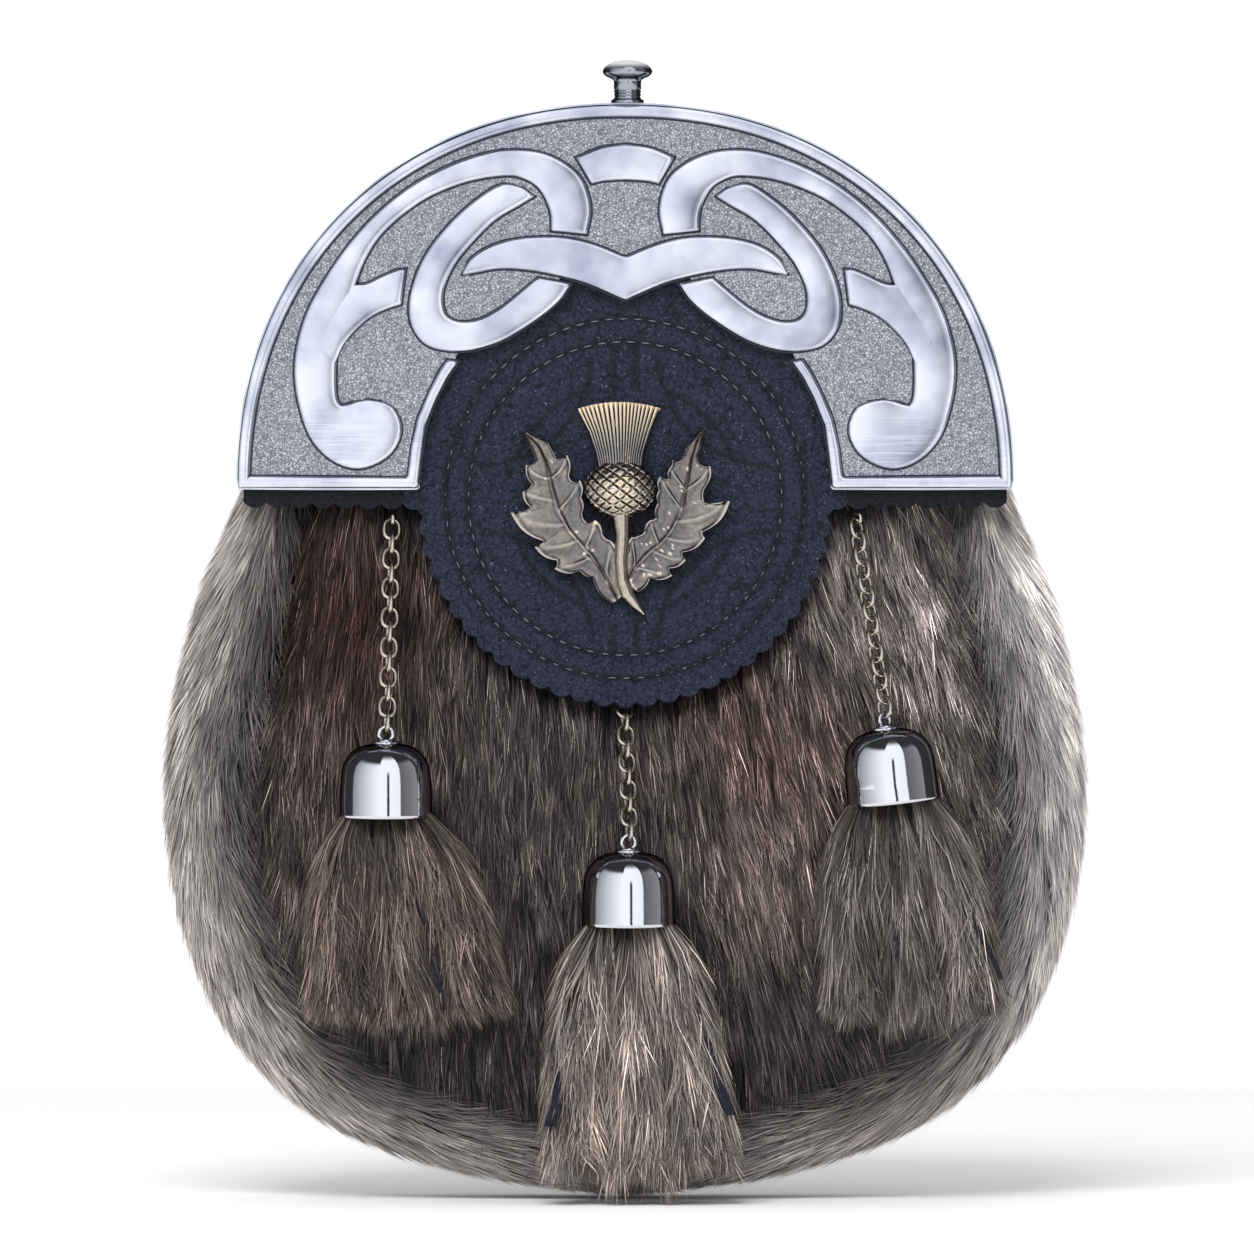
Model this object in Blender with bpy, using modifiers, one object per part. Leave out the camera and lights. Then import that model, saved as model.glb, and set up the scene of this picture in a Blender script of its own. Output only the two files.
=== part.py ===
"""A full-dress sporran pouch: a cast metal cantle over a fur bag, a navy leather apron with
a thistle badge, and three fur tassels in polished bells on chains.

It hangs as it is worn, front to -Y and up to +Z. The origin is where the waist strap
passes, midway between the two wire loops on its back. Tables and sizes are millimetres.
A depth is measured forward from the flat of the back."""

import math

import bmesh
import bpy
import numpy as np
from mathutils import Matrix, Vector

MM = 0.001
GAP = 0.3  # between pieces that touch

# ---- driving dimensions
BACK_Y = 4.0  # the back's flat face, behind the strap
CANTLE_HALF = 82.6
CANTLE_RISE = 81.75  # from the feet to the top of the arch
FOOT_Z = -42.15
ARCH_POWER = 2.15  # 2 would be an ellipse
ARCH_POINTS = 18  # on each half of the arch
RIM = 2.7  # width of the raised border
FIELD_BACK, FIELD_FACE = 31.2, 33.4  # depths of the cantle's plate
RELIEF = 34.6  # depth of its raised bands
APRON_BACK = 28.9
APRON_THICK = 1.8
APRON_CENTRE_Z = -44.3
APRON_RADIUS = 44.3
STRIP_Z = -46.2  # lower edge of the apron under the cantle's feet
STRIP_END = 81.4
LOBE, LOBE_DEPTH = 4.9, 1.1  # pinked edge: length and depth of one lobe
HIDE = 5.0  # a hide with its fur, as thick as it lies
BACK_THICK = 2.0
BACK_TOP_Z = 16.0
BACK_BEND_Z = -45.0  # the back is flat below this height and leans forward above it
BACK_LEAN = 10.0 / 61.0
REAR_INSET = 5.0  # from the roll's outermost line in to where it meets the back

LINK_LONG, LINK_WIDE, WIRE = 5.6, 4.4, 0.85
LINK_GAP = 0.3
STAPLE_WIRE = 0.8
BELL_HEIGHT, BELL_RADIUS, BELL_BORE = 16.0, 9.9, 8.9
EYE_RADIUS, EYE_RISE = 1.5, 1.7
LOOP_WIRE, LOOP_X, LOOP_HALF = 2.4, 42.0, 9.5
LOOP_FRONT_Y = 6.4
KNOB_X = 0.5

# ---- the bag: one row for each section round its side, from behind the cantle to the
# middle of the bottom. The seam is where the front panel meets the roll.
BAG = (
    # outer_x, outer_z, seam_x, seam_z
    (59.0, 14.0, 49.0, 14.0),
    (74.0, -12.0, 62.0, -12.0),
    (82.0, -42.0, 68.5, -44.0),
    (91.8, -67.0, 72.2, -67.0),
    (97.2, -92.0, 77.8, -93.0),
    (98.2, -112.0, 79.2, -112.0),
    (94.5, -136.0, 73.8, -135.0),
    (84.5, -158.5, 63.0, -154.5),
    (66.0, -176.5, 47.5, -165.5),
    (36.0, -188.0, 25.0, -172.5),
    (0.0, -192.9, 0.0, -175.0),
)

# ---- how far the front stands forward of the back's flat, down the bag
FRONT_DEPTHS = (
    # z, at_seam, at_middle
    (14.0, 28.5, 28.5),
    (-28.0, 28.5, 28.5),
    (-44.0, 25.6, 25.6),
    (-58.0, 28.5, 27.8),
    (-72.0, 32.0, 30.6),
    (-88.0, 35.2, 35.2),
    (-100.0, 36.4, 38.0),
    (-115.0, 37.0, 40.4),
    (-130.0, 37.0, 41.4),
    (-145.0, 36.6, 41.0),
    (-160.0, 35.6, 38.8),
    (-175.0, 34.5, 34.5),
)

# ---- how far the apron's middle bulges forward over the bag
APRON_BULGE = (
    # z, bulge
    (-26.0, 0.0),
    (-42.0, 0.0),
    (-58.0, 2.6),
    (-72.0, 6.1),
    (-90.0, 10.7),
)
BULGE_HALF = 60.0

# ---- the fur lies in overlapping locks
LOCK_HIGH = 1.3
LOCK_COLUMN = 8.0  # half a lock's width on the front
LOCK_LONG = 28.0
LOCK_TIP = 0.92  # where a lock ends, as a share of the way to the next one
FUR_TOP_Z = -44.0

# ---- raised bands of the cantle, right half: one row for each crossing of a band,
# giving the points on its two edges
SCROLL = (
    # outer_x, outer_z, inner_x, inner_z
    (8.1, 11.8, 15.8, 12.6),
    (7.2, 17.9, 16.1, 17.0),
    (9.8, 24.7, 18.3, 21.5),
    (16.6, 29.0, 21.7, 23.7),
    (24.7, 30.0, 24.9, 24.3),
    (31.9, 28.7, 31.1, 23.6),
    (39.6, 25.7, 37.5, 21.7),
    (47.1, 21.3, 43.9, 18.5),
    (54.5, 14.9, 51.1, 12.6),
    (61.3, 6.6, 55.4, 6.2),
    (67.1, -3.0, 58.3, -2.1),
    (69.8, -10.9, 60.9, -10.2),
    (70.5, -17.5, 61.5, -17.5),
    (69.6, -24.3, 61.3, -22.6),
    (67.1, -31.5, 60.5, -24.3),
    (62.4, -36.4, 59.8, -24.3),
    (56.4, -38.1, 59.0, -24.1),
    (50.2, -35.3, 58.1, -23.8),
    (47.5, -30.2, 57.5, -23.6),
    (48.8, -25.5, 56.6, -23.5),
    (51.9, -23.6, 54.9, -23.2),
)
BRANCH = (
    # upper_x, upper_z, lower_x, lower_z
    (62.0, -7.5, 62.4, -17.5),
    (58.8, -2.1, 60.9, -13.2),
    (55.4, 1.3, 57.6, -8.7),
    (51.9, 2.6, 53.7, -5.5),
    (48.8, 4.2, 50.2, -3.9),
    (46.5, 4.2, 47.6, -3.1),
)
RING = (
    # outer_x, outer_z, inner_x, inner_z
    (21.7, 21.9, 19.2, 20.0),
    (26.2, 22.7, 22.6, 17.9),
    (31.5, 19.6, 27.3, 15.1),
    (37.0, 14.7, 31.7, 10.9),
    (42.4, 7.9, 36.0, 5.7),
    (45.6, 0.2, 38.5, 0.2),
    (45.8, -6.8, 38.4, -4.3),
    (42.2, -11.8, 36.6, -6.2),
    (34.9, -13.1, 33.6, -6.6),
    (26.8, -11.1, 29.8, -5.5),
    (19.2, -6.6, 25.8, -3.1),
    (14.1, -2.4, 22.1, -0.1),
    (11.4, 1.4, 18.7, 2.8),
)
TIE = (
    # upper_x, upper_z, lower_x, lower_z: crosses the middle with a point
    (34.8, 3.8, 34.5, 3.1),
    (32.6, 7.1, 31.5, 3.7),
    (28.1, 9.8, 26.8, 4.5),
    (21.9, 11.2, 21.7, 4.3),
    (14.1, 11.4, 15.5, 3.3),
    (7.0, 10.0, 8.1, 1.3),
    (0.0, 7.2, 0.0, -2.2),
)
CROWN = (
    # upper_x, upper_z, lower_x, lower_z: the short arc over the middle
    (10.6, 28.3, 7.2, 22.6),
    (5.5, 30.4, 4.5, 23.2),
    (0.0, 31.2, 0.0, 23.5),
)
RIM_INNER_SIDE = (
    # outer_x, outer_z, inner_x, inner_z: the border's last stretch, up from the foot
    (44.1, -42.2, 46.4, -39.8),
    (43.4, -36.2, 45.6, -33.2),
    (42.4, -28.7, 44.3, -27.3),
    (40.2, -23.2, 41.7, -21.3),
    (37.9, -18.7, 39.6, -17.2),
    (35.4, -15.1, 37.9, -14.7),
)
# where the plate's edge runs hidden under the ring and the tie
FIELD_EDGE = (
    # x, z
    (36.2, -14.6),
    (34.3, -9.9),
    (28.3, -8.3),
    (22.5, -4.9),
    (17.5, -0.5),
    (11.5, 4.5),
    (0.0, 2.0),
)

# ---- the thistle badge, measured from its own middle line
BADGE_X = -1.0
BADGE_TOP_Z, BADGE_FOOT_Z = -23.8, -69.3
BADGE_TILT = 5.5  # its foot stands this much further forward than its top
LEAF_EDGE, LEAF_CREST = 1.1, 2.3
STEM_EDGE, STEM_CREST = 1.6, 3.4
LEFT_LEAF = (
    # rib_x, rib_z, outer_x, outer_z, inner_x, inner_z
    (-0.7, -66.0, -1.8, -66.6, 0.3, -65.1),
    (-3.5, -60.5, -5.9, -61.1, -0.5, -57.9),
    (-6.1, -56.6, -8.6, -59.8, -2.0, -53.4),
    (-7.8, -54.7, -13.9, -59.4, -3.9, -51.9),
    (-9.3, -53.0, -13.5, -57.5, -5.4, -48.9),
    (-11.0, -50.9, -18.2, -54.7, -7.1, -49.6),
    (-11.8, -49.4, -16.3, -53.4, -8.2, -47.5),
    (-13.3, -46.6, -23.3, -47.4, -8.4, -44.1),
    (-13.9, -44.5, -19.1, -46.2, -8.6, -40.5),
    (-14.6, -41.9, -20.8, -43.0, -10.1, -40.9),
    (-15.0, -39.8, -18.8, -41.3, -11.0, -39.2),
    (-15.4, -38.3, -20.1, -37.3, -11.4, -35.1),
    (-16.0, -36.2, -17.9, -36.4, -13.6, -35.9),
    (-17.6, -33.0, -19.1, -33.2, -15.4, -32.6),
    (-20.5, -30.2, -21.0, -29.6, -19.6, -30.4),
)
RIGHT_LEAF = (
    # rib_x, rib_z, outer_x, outer_z, inner_x, inner_z
    (1.6, -61.7, 3.5, -64.3, 0.7, -59.6),
    (3.3, -58.8, 6.3, -61.3, 1.8, -55.4),
    (5.2, -56.6, 11.0, -60.8, 2.4, -52.6),
    (6.9, -55.1, 10.3, -59.2, 3.7, -52.4),
    (8.4, -53.9, 13.9, -57.5, 5.2, -51.3),
    (9.9, -52.4, 13.1, -55.8, 6.3, -49.0),
    (11.0, -50.7, 18.0, -52.8, 7.6, -48.5),
    (12.0, -48.8, 17.4, -51.5, 8.0, -45.3),
    (13.1, -46.4, 23.3, -44.9, 8.2, -42.6),
    (13.5, -44.3, 17.8, -45.1, 8.4, -39.6),
    (13.9, -42.2, 18.2, -41.7, 10.3, -40.2),
    (14.4, -39.8, 19.1, -37.5, 10.5, -37.9),
    (14.7, -38.2, 16.7, -37.0, 11.1, -36.2),
    (15.4, -34.7, 16.9, -34.1, 13.1, -36.0),
    (16.5, -31.7, 17.4, -31.5, 14.4, -33.2),
    (17.5, -30.0, 17.9, -29.5, 16.9, -30.4),
)
STEM = (
    # crest_x, crest_z, left_x, left_z, right_x, right_z
    (0.0, -46.0, -2.2, -46.0, 2.2, -46.0),
    (0.4, -52.2, -1.2, -52.2, 2.0, -52.2),
    (0.1, -57.7, -1.4, -57.7, 1.6, -57.7),
    (0.4, -61.8, -1.0, -62.2, 1.8, -61.3),
    (1.5, -64.8, 0.1, -65.4, 2.9, -64.1),
    (3.3, -67.1, 2.2, -67.7, 4.4, -66.6),
    (5.0, -69.0, 4.7, -69.3, 5.3, -68.6),
)
TUFT = (
    # crest_x, crest_z, left_x, left_z, right_x, right_z
    (0.0, -37.5, -4.6, -37.5, 4.6, -37.5),
    (0.0, -34.6, -5.2, -34.6, 5.0, -34.6),
    (-0.1, -30.1, -6.7, -30.2, 6.5, -30.0),
    (-0.3, -23.8, -9.3, -25.3, 8.5, -25.1),
)
TUFT_EDGE, TUFT_CREST = 1.6, 3.2
BULB = (-0.1, -42.3, 7.7, 6.4, 5.2)  # x, z, half width, half height, how far it stands out

# ---- turned pieces: radius, and height above the arch or below the bell's top
KNOB = (
    # radius, height
    (2.4, 9.4),
    (4.5, 8.4),
    (5.3, 7.1),
    (4.9, 6.2),
    (3.0, 5.2),
    (2.85, 3.0),
    (2.5, 2.2),
    (2.6, 1.2),
    (3.4, 0.9),
    (3.4, 0.3),
)
BELL = (
    # radius, height
    (1.8, 0.6),
    (2.0, -0.1),
    (6.2, -1.2),
    (9.0, -4.4),
    (9.8, -9.0),
    (BELL_RADIUS, -BELL_HEIGHT),
    (BELL_BORE, -BELL_HEIGHT),
    (8.4, -6.2),
    (5.8, -2.9),
)

# ---- what hangs in front: one row for each chain, bell and tassel
HANGING = (
    # side, first link (x, depth, z), bell's top (x, depth, z), bell's foot (x, depth, z),
    # tassel's tip (x, depth, z), half its width there, turn of the first link in degrees
    (
        "left",
        (-49.8, 29.6, -50.9),
        (-50.6, 50.9, -96.0),
        (-50.6, 50.4, -111.4),
        (-45.5, 47.6, -157.0),
        20.5,
        12.0,
    ),
    (
        "centre",
        (-0.1, 37.1, -89.0),
        (0.7, 53.7, -118.9),
        (0.7, 53.2, -134.3),
        (3.2, 52.0, -190.5),
        19.6,
        18.0,
    ),
    (
        "right",
        (49.4, 29.6, -50.7),
        (55.1, 50.4, -93.0),
        (56.8, 49.9, -108.3),
        (61.5, 46.6, -157.0),
        18.0,
        45.0,
    ),
)
STRIPS = 3  # fur strips in a tassel's front row, and as many behind
STRIP_LEVELS = (
    # along, width as a share of the room for it, thickness
    (0.0, 0.9, 4.0),
    (0.6, 0.95, 5.2),
    (1.0, 0.84, 2.4),
)
HEAD_RADIUS, HEAD_TOP, HEAD_FOOT = 7.6, -6.6, -15.4
STRIP_ROOT_HALF, STRIP_ROOT_Y = 7.0, 2.7


def at(x, depth, z):
    """A point of the pouch in metres."""
    return Vector((x, BACK_Y - depth, z)) * MM


def curve_through(rows, steps):
    """Points on a smooth curve through the rows, with this many steps from row to row."""
    rows = np.array(rows, float)
    before = np.vstack([2 * rows[0] - rows[1], rows[:-1]])
    after = np.vstack([rows[1:], 2 * rows[-1] - rows[-2]])
    slope = (after - before) / 2
    points = []
    for i in range(len(rows) - 1):
        for t in np.arange(steps) / steps:
            points.append(
                rows[i] * (2 * t**3 - 3 * t**2 + 1)
                + slope[i] * (t**3 - 2 * t**2 + t)
                + rows[i + 1] * (3 * t**2 - 2 * t**3)
                + slope[i + 1] * (t**3 - t**2)
            )
    points.append(rows[-1])
    return np.array(points)


def mirrored(rows):
    """Rows of x, z pairs on the other side, in the same order."""
    rows = np.array(rows, float)
    signs = np.tile((-1.0, 1.0), rows.shape[1] // 2)
    return rows * signs


def both_halves(half):
    """A half given from its outer end to the middle, continued to the other outer end."""
    return np.vstack([half, mirrored(half)[-2::-1]])


def smooth_step(value):
    value = min(1.0, max(0.0, value))
    return value * value * (3 - 2 * value)


# ---- materials and objects


def material(name, colour, roughness, metallic=0.0):
    made = bpy.data.materials.new(name)
    made.use_nodes = True
    shader = made.node_tree.nodes["Principled BSDF"]
    shader.inputs["Base Color"].default_value = (*colour, 1.0)
    shader.inputs["Roughness"].default_value = roughness
    shader.inputs["Metallic"].default_value = metallic
    return made


def named_collection(name, hidden=False):
    made = bpy.data.collections.new(name)
    bpy.context.scene.collection.children.link(made)
    made.hide_render = hidden
    return made


def add_object(name, data, look, collection):
    made = bpy.data.objects.new(name, data)
    collection.objects.link(made)
    data.materials.append(look)
    return made


def mesh_object(name, bm, look, collection, smooth=False):
    """Ends a bmesh in a mesh object with its faces pointing out."""
    bmesh.ops.recalc_face_normals(bm, faces=bm.faces)
    data = bpy.data.meshes.new(name)
    bm.to_mesh(data)
    bm.free()
    if smooth:
        data.shade_smooth()
        data.set_sharp_from_angle(angle=math.radians(40))
    return add_object(name, data, look, collection)


def helper(name, bm, look):
    made = mesh_object(name, bm, look, helpers)
    made.hide_render = True
    made.display_type = "WIRE"
    return made


def unite(target, others):
    """Fuses the other objects with the target into one body."""
    for other in others:
        union = target.modifiers.new(other.name, "BOOLEAN")
        union.operation = "UNION"
        union.object = other


# ---- solids from sections


def band(rungs, back, face, name, look):
    """A flat raised band: a strip of faces between two edges, extruded to its back."""
    bm = bmesh.new()
    rows = [(bm.verts.new(at(a, face, b)), bm.verts.new(at(c, face, d))) for a, b, c, d in rungs]
    for one, two in zip(rows, rows[1:]):
        bm.faces.new((one[0], one[1], two[1], two[0]))
    thicken(bm, lambda x, z: back, lambda x, z: face)
    return helper(name, bm, look)


def thicken(bm, back_of, face_of):
    """Turns a flat sheet into a closed wall between two depths, each worked out from x, z."""
    front = list(bm.verts)
    grown = bmesh.ops.extrude_face_region(bm, geom=bm.faces[:], use_keep_orig=True)
    behind = [item for item in grown["geom"] if isinstance(item, bmesh.types.BMVert)]
    for group, depth_of in ((front, face_of), (behind, back_of)):
        for vert in group:
            vert.co = at(vert.co.x / MM, depth_of(vert.co.x / MM, vert.co.z / MM), vert.co.z / MM)


def sheet(outline, cuts_x, cuts_z):
    """A flat sheet with this outline, cut into cells along upright and level lines."""
    bm = bmesh.new()
    bm.faces.new([bm.verts.new(at(x, 0.0, z)) for x, z in outline])
    for normal, cuts in (((1, 0, 0), cuts_x), ((0, 0, 1), cuts_z)):
        for cut in cuts:
            everything = bm.verts[:] + bm.edges[:] + bm.faces[:]
            place = Vector(normal) * cut * MM
            bmesh.ops.bisect_plane(bm, geom=everything, dist=1e-7, plane_co=place, plane_no=normal)
    return bm


def loft(rings):
    """A solid through closed sections with equal counts of points, capped at both ends."""
    bm = bmesh.new()
    rows = [[bm.verts.new(point) for point in ring] for ring in rings]
    for one, two in zip(rows, rows[1:]):
        for i in range(len(one)):
            j = (i + 1) % len(one)
            bm.faces.new((one[i], one[j], two[j], two[i]))
    bm.faces.new(rows[0])
    bm.faces.new(rows[-1][::-1])
    bmesh.ops.triangulate(bm, faces=bm.faces[:])
    return bm


def turned(name, profile, steps, look, collection):
    """A turned piece: its profile, from the top down the outside, spun about its own Z."""
    bm = bmesh.new()
    top, foot = profile[0][1], profile[-1][1]
    heights = [(0.0, top), *profile, (0.0, foot)]
    verts = [bm.verts.new((radius * MM, 0.0, height * MM)) for radius, height in heights]
    for one, two in zip(verts, verts[1:]):
        bm.edges.new((one, two))
    data = bpy.data.meshes.new(name)
    bm.to_mesh(data)
    bm.free()
    made = add_object(name, data, look, collection)
    screw = made.modifiers.new("Screw", "SCREW")
    screw.steps = screw.render_steps = steps
    screw.use_merge_vertices = True
    screw.merge_threshold = 0.00001
    screw.use_smooth_shade = True
    return made


def wire(name, points, thickness, look, collection):
    """A bent wire through the points."""
    data = bpy.data.curves.new(name, "CURVE")
    data.dimensions = "3D"
    data.bevel_depth = thickness / 2 * MM
    data.bevel_resolution = 1
    data.use_fill_caps = True
    spline = data.splines.new("POLY")
    spline.points.add(len(points) - 1)
    for point, place in zip(spline.points, points):
        point.co = (*place, 1.0)
    return add_object(name, data, look, collection)


# ---- the bag


def bag_sections():
    """The bag's sections from its left mouth end round the bottom to its right one, each
    with its place along the locks: three to a lock, and none of it raised up at the top."""
    path = both_halves(curve_through(mirrored(BAG), 6))
    steps = np.linalg.norm(np.diff(path[:, :2], axis=0), axis=1)
    length = np.concatenate([[0.0], np.cumsum(steps)])
    half = length[-1] / 2
    down = path[: len(path) // 2]
    hidden = np.interp(-FUR_TOP_Z, -down[:, 1], length[: len(down)])
    locks = round((half - hidden) / LOCK_LONG)
    places = [(0.0, 0.0), (hidden / 2, 0.0)]
    for lock in range(locks):
        for part in (0.0, LOCK_TIP / 2, LOCK_TIP):
            places.append((hidden + (half - hidden) * (lock + part) / locks, lock + part))
    places += [(2 * half - place, along) for place, along in reversed(places)]
    sections = []
    for place, along in places:
        outer_x, outer_z, seam_x, seam_z = (
            np.interp(place, length, path[:, column]) for column in range(4)
        )
        seam = np.array((seam_x, seam_z))
        out = np.array((outer_x, outer_z)) - seam
        wide = np.linalg.norm(out)
        sections.append((seam, out / wide, wide, along))
    return sections


def front_depth(x, z):
    """Depth of the front's fur, without its locks."""
    levels = curve_through(FRONT_DEPTHS, 4)[::-1]
    seams = curve_through(BAG, 6)[::-1]
    at_seam = np.interp(z, levels[:, 0], levels[:, 1])
    at_middle = np.interp(z, levels[:, 0], levels[:, 2])
    half = max(10.0, np.interp(z, seams[:, 3], seams[:, 2]))
    return at_middle + (at_seam - at_middle) * min(1.0, (x / half) ** 2)


def back_depth(z):
    """Depth of the back's outer face, which leans forward above its bend."""
    return max(0.0, z - BACK_BEND_Z) * BACK_LEAN


def lock_rise(along, across):
    """How far a lock of fur stands up, from its place along the fur and across it."""
    row = math.floor(along)
    part = along - row
    slope = min(part / LOCK_TIP, 1.0)
    return LOCK_HIGH * slope * (abs(across) % 2 if row % 2 else 1 - abs(across) % 2)


def clear_of_fittings(x, z):
    """0 under the apron and round the staples, and 1 where the fur stands free."""
    if z > STRIP_Z:
        return 0.0
    nearest = math.hypot(x, z - APRON_CENTRE_Z) - APRON_RADIUS
    for _, link, *_ in HANGING:
        nearest = min(nearest, math.hypot(x - link[0], z - link[2]) - LOCK_COLUMN)
    return smooth_step(nearest / LOCK_COLUMN)


def front_face(x, z):
    along = (FUR_TOP_Z - z) / LOCK_LONG
    rise = lock_rise(along, round(x / LOCK_COLUMN)) * clear_of_fittings(x, z)
    return front_depth(x, z) + rise


def fur_front():
    """The front panel, inside the seam, with its fur in locks."""
    inward = [seam - out * GAP / 2 for seam, out, _, _ in bag_sections()]
    columns = [i * LOCK_COLUMN for i in range(-9, 10)]
    levels = [FUR_TOP_Z - LOCK_LONG * (row + part) for row in range(5) for part in (0, LOCK_TIP)]
    bm = sheet(inward, columns, [-28.0, *levels])
    thicken(bm, lambda x, z: front_depth(x, z) - HIDE, front_face)
    return mesh_object("fur_front", bm, FUR, pouch)


def roll_section(seam, out, wide, along):
    """One section of the roll: its outside from front to back, then its inside. Each
    point is its distance out from the seam, and its depth."""
    start = GAP / 2
    front = np.interp(seam[1], *np.array(FRONT_DEPTHS)[::-1, :2].T) - GAP
    rear = back_depth(seam[1] + out[1] * wide) + BACK_THICK + GAP
    middle = (front + rear) / 2
    section = []
    for angle in np.radians((0.0, 22.5, 45.0, 67.5)):
        section.append((
            start + (wide - start) * math.sin(angle) ** 0.9,
            middle + (front - middle) * math.cos(angle) ** 0.7,
        ))
    for angle in np.radians((0.0, 22.5, 45.0, 67.5, 90.0)):
        section.append((
            wide - REAR_INSET * (1 - math.cos(angle)),
            middle - (middle - rear) * math.sin(angle),
        ))
    raised = list(section)
    for i in range(1, len(section) - 1):
        ahead = np.array(section[i + 1]) - np.array(section[i - 1])
        ahead /= np.linalg.norm(ahead)
        raised[i] = np.array(section[i]) + np.array((-ahead[1], ahead[0])) * lock_rise(along, i)
    raised += [
        (wide - REAR_INSET - HIDE, rear),
        (wide - HIDE, middle),
        (max(wide - HIDE - 4, 1.0), front - HIDE - 1.0),
        (start, front - HIDE),
    ]
    return [at(seam[0] + out[0] * u, depth, seam[1] + out[1] * u) for u, depth in raised]


def fur_gusset():
    """The roll: a U-shaped hide round the sides and the bottom, open towards the mouth."""
    rings = [roll_section(*section) for section in bag_sections()]
    return mesh_object("fur_gusset", loft(rings), FUR_PALE, pouch)


def back_panel():
    """The leather back: flat where it lies against the wearer, leaning forward above."""
    edge = [seam + out * (wide - REAR_INSET - 1.0) for seam, out, wide, _ in bag_sections()]
    corner_x = edge[0][0]
    outline = [(corner_x, BACK_TOP_Z), *edge, (-corner_x, BACK_TOP_Z)]
    bm = sheet(outline, [], [BACK_BEND_Z])
    thicken(bm, lambda x, z: back_depth(z), lambda x, z: back_depth(z) + BACK_THICK)
    return mesh_object("back_panel", bm, LEATHER, pouch)


# ---- the cantle


def arch(inset, count):
    """Points on the cantle's arch, from its top down its right side to foot level."""
    points = []
    for angle in np.linspace(math.pi / 2, 0.0, count):
        points.append((
            (CANTLE_HALF - inset) * math.cos(angle) ** (2 / ARCH_POWER),
            FOOT_Z + (CANTLE_RISE - inset) * math.sin(angle) ** (2 / ARCH_POWER),
        ))
    return np.array(points)


def rim_rungs():
    """The border from the top of the arch round the foot and up its inner side."""
    outside, inside = arch(0.0, ARCH_POINTS), arch(RIM, ARCH_POINTS)
    inside[-1, 1] = FOOT_Z + RIM
    half = np.vstack([np.hstack([outside, inside]), RIM_INNER_SIDE])
    return both_halves(half[::-1])


def field_outline():
    """The plate's outline, kept a little inside the raised border and bands."""
    outside = arch(0.8, ARCH_POINTS)
    outside[-1, 1] = FOOT_Z + 0.5
    rungs = np.array(RIM_INNER_SIDE)[:-1]
    inner_side = (rungs[:, :2] + rungs[:, 2:]) / 2
    half = np.vstack([outside, inner_side, FIELD_EDGE])
    return np.vstack([half, mirrored(half)[-2:0:-1]])


def cantle():
    """One casting: the plate, its border and the interlaced bands raised on it. Each
    band's face lies a hair off its neighbour's, so that crossing bands fuse cleanly."""
    bm = sheet(field_outline(), [], [])
    thicken(bm, lambda x, z: FIELD_BACK, lambda x, z: FIELD_FACE)
    plate = mesh_object("cantle", bm, SILVER, pouch)
    through = FIELD_BACK - 0.2
    inside = FIELD_FACE - 0.8
    bands = [band(rim_rungs(), through, RELIEF, "cantle_rim", SILVER)]
    for turn, side in ((mirrored, "left"), (np.array, "right")):
        for name, rows, back, face in (
            ("scroll", SCROLL, inside, RELIEF - 0.05),
            ("branch", BRANCH, inside - 0.1, RELIEF - 0.1),
            ("ring", RING, through + 0.05, RELIEF - 0.15),
        ):
            bands.append(band(turn(rows), back, face, f"cantle_{name}_{side}", SILVER))
    bands.append(band(both_halves(TIE), through + 0.1, RELIEF - 0.2, "cantle_tie", SILVER))
    bands.append(band(both_halves(CROWN), inside, RELIEF - 0.05, "cantle_crown", SILVER))
    unite(plate, bands)
    return plate


def cantle_knob():
    """The turned finial, screwed into the top of the arch."""
    knob = turned("cantle_knob", KNOB, 12, STEEL, pouch)
    knob.location = at(KNOB_X, (FIELD_BACK + RELIEF) / 2, FOOT_Z + CANTLE_RISE)
    return knob


# ---- the apron and its badge


def apron_depth(x, z):
    levels = np.array(APRON_BULGE)[::-1]
    smooth = curve_through(levels, 4)
    bulge = max(0.0, np.interp(z, smooth[:, 0], smooth[:, 1]))
    return APRON_BACK + bulge * max(0.0, 1 - (x / BULGE_HALF) ** 2)


def pinked(path):
    """A path of x, z points cut into rounded lobes, with a notch between each two."""
    path = np.array(path)
    steps = np.linalg.norm(np.diff(path, axis=0), axis=1)
    length = np.concatenate([[0.0], np.cumsum(steps)])
    lobes = round(length[-1] / LOBE)
    edge = []
    for place in np.linspace(0.0, length[-1], lobes * 3 + 1):
        x, z = (np.interp(place, length, path[:, column]) for column in (0, 1))
        ahead = [np.interp(min(place + 1, length[-1]), length, path[:, c]) for c in (0, 1)]
        behind = [np.interp(max(place - 1, 0.0), length, path[:, c]) for c in (0, 1)]
        along = Vector(ahead) - Vector(behind)
        along.normalize()
        lobe = abs(math.sin(math.pi * place / length[-1] * lobes))
        into = LOBE_DEPTH * (1 - min(1.0, lobe * 1.15))
        edge.append((x - into * along.y, z + into * along.x))
    return edge


def apron_outline():
    """Up the arch behind the cantle, and along the pinked strips and disc below it."""
    over = both_halves(arch(1.2, 12)[::-1])
    turns = np.radians(np.linspace(177, 3, 60))
    disc = [
        (APRON_RADIUS * math.cos(turn), APRON_CENTRE_Z - APRON_RADIUS * math.sin(turn))
        for turn in turns
    ]
    lower = pinked([(-STRIP_END, STRIP_Z), *disc, (STRIP_END, STRIP_Z)])
    return [*over[1:-1], *lower]


def apron():
    """The navy leather apron, behind the cantle and over the fur."""
    levels = [-24.0, -40.0, -50.0, -60.0, -70.0, -80.0]
    bm = sheet(apron_outline(), [-24.0, 0.0, 24.0], levels)
    thicken(bm, apron_depth, lambda x, z: apron_depth(x, z) + APRON_THICK)
    return mesh_object("apron", bm, NAVY, pouch)


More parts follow.
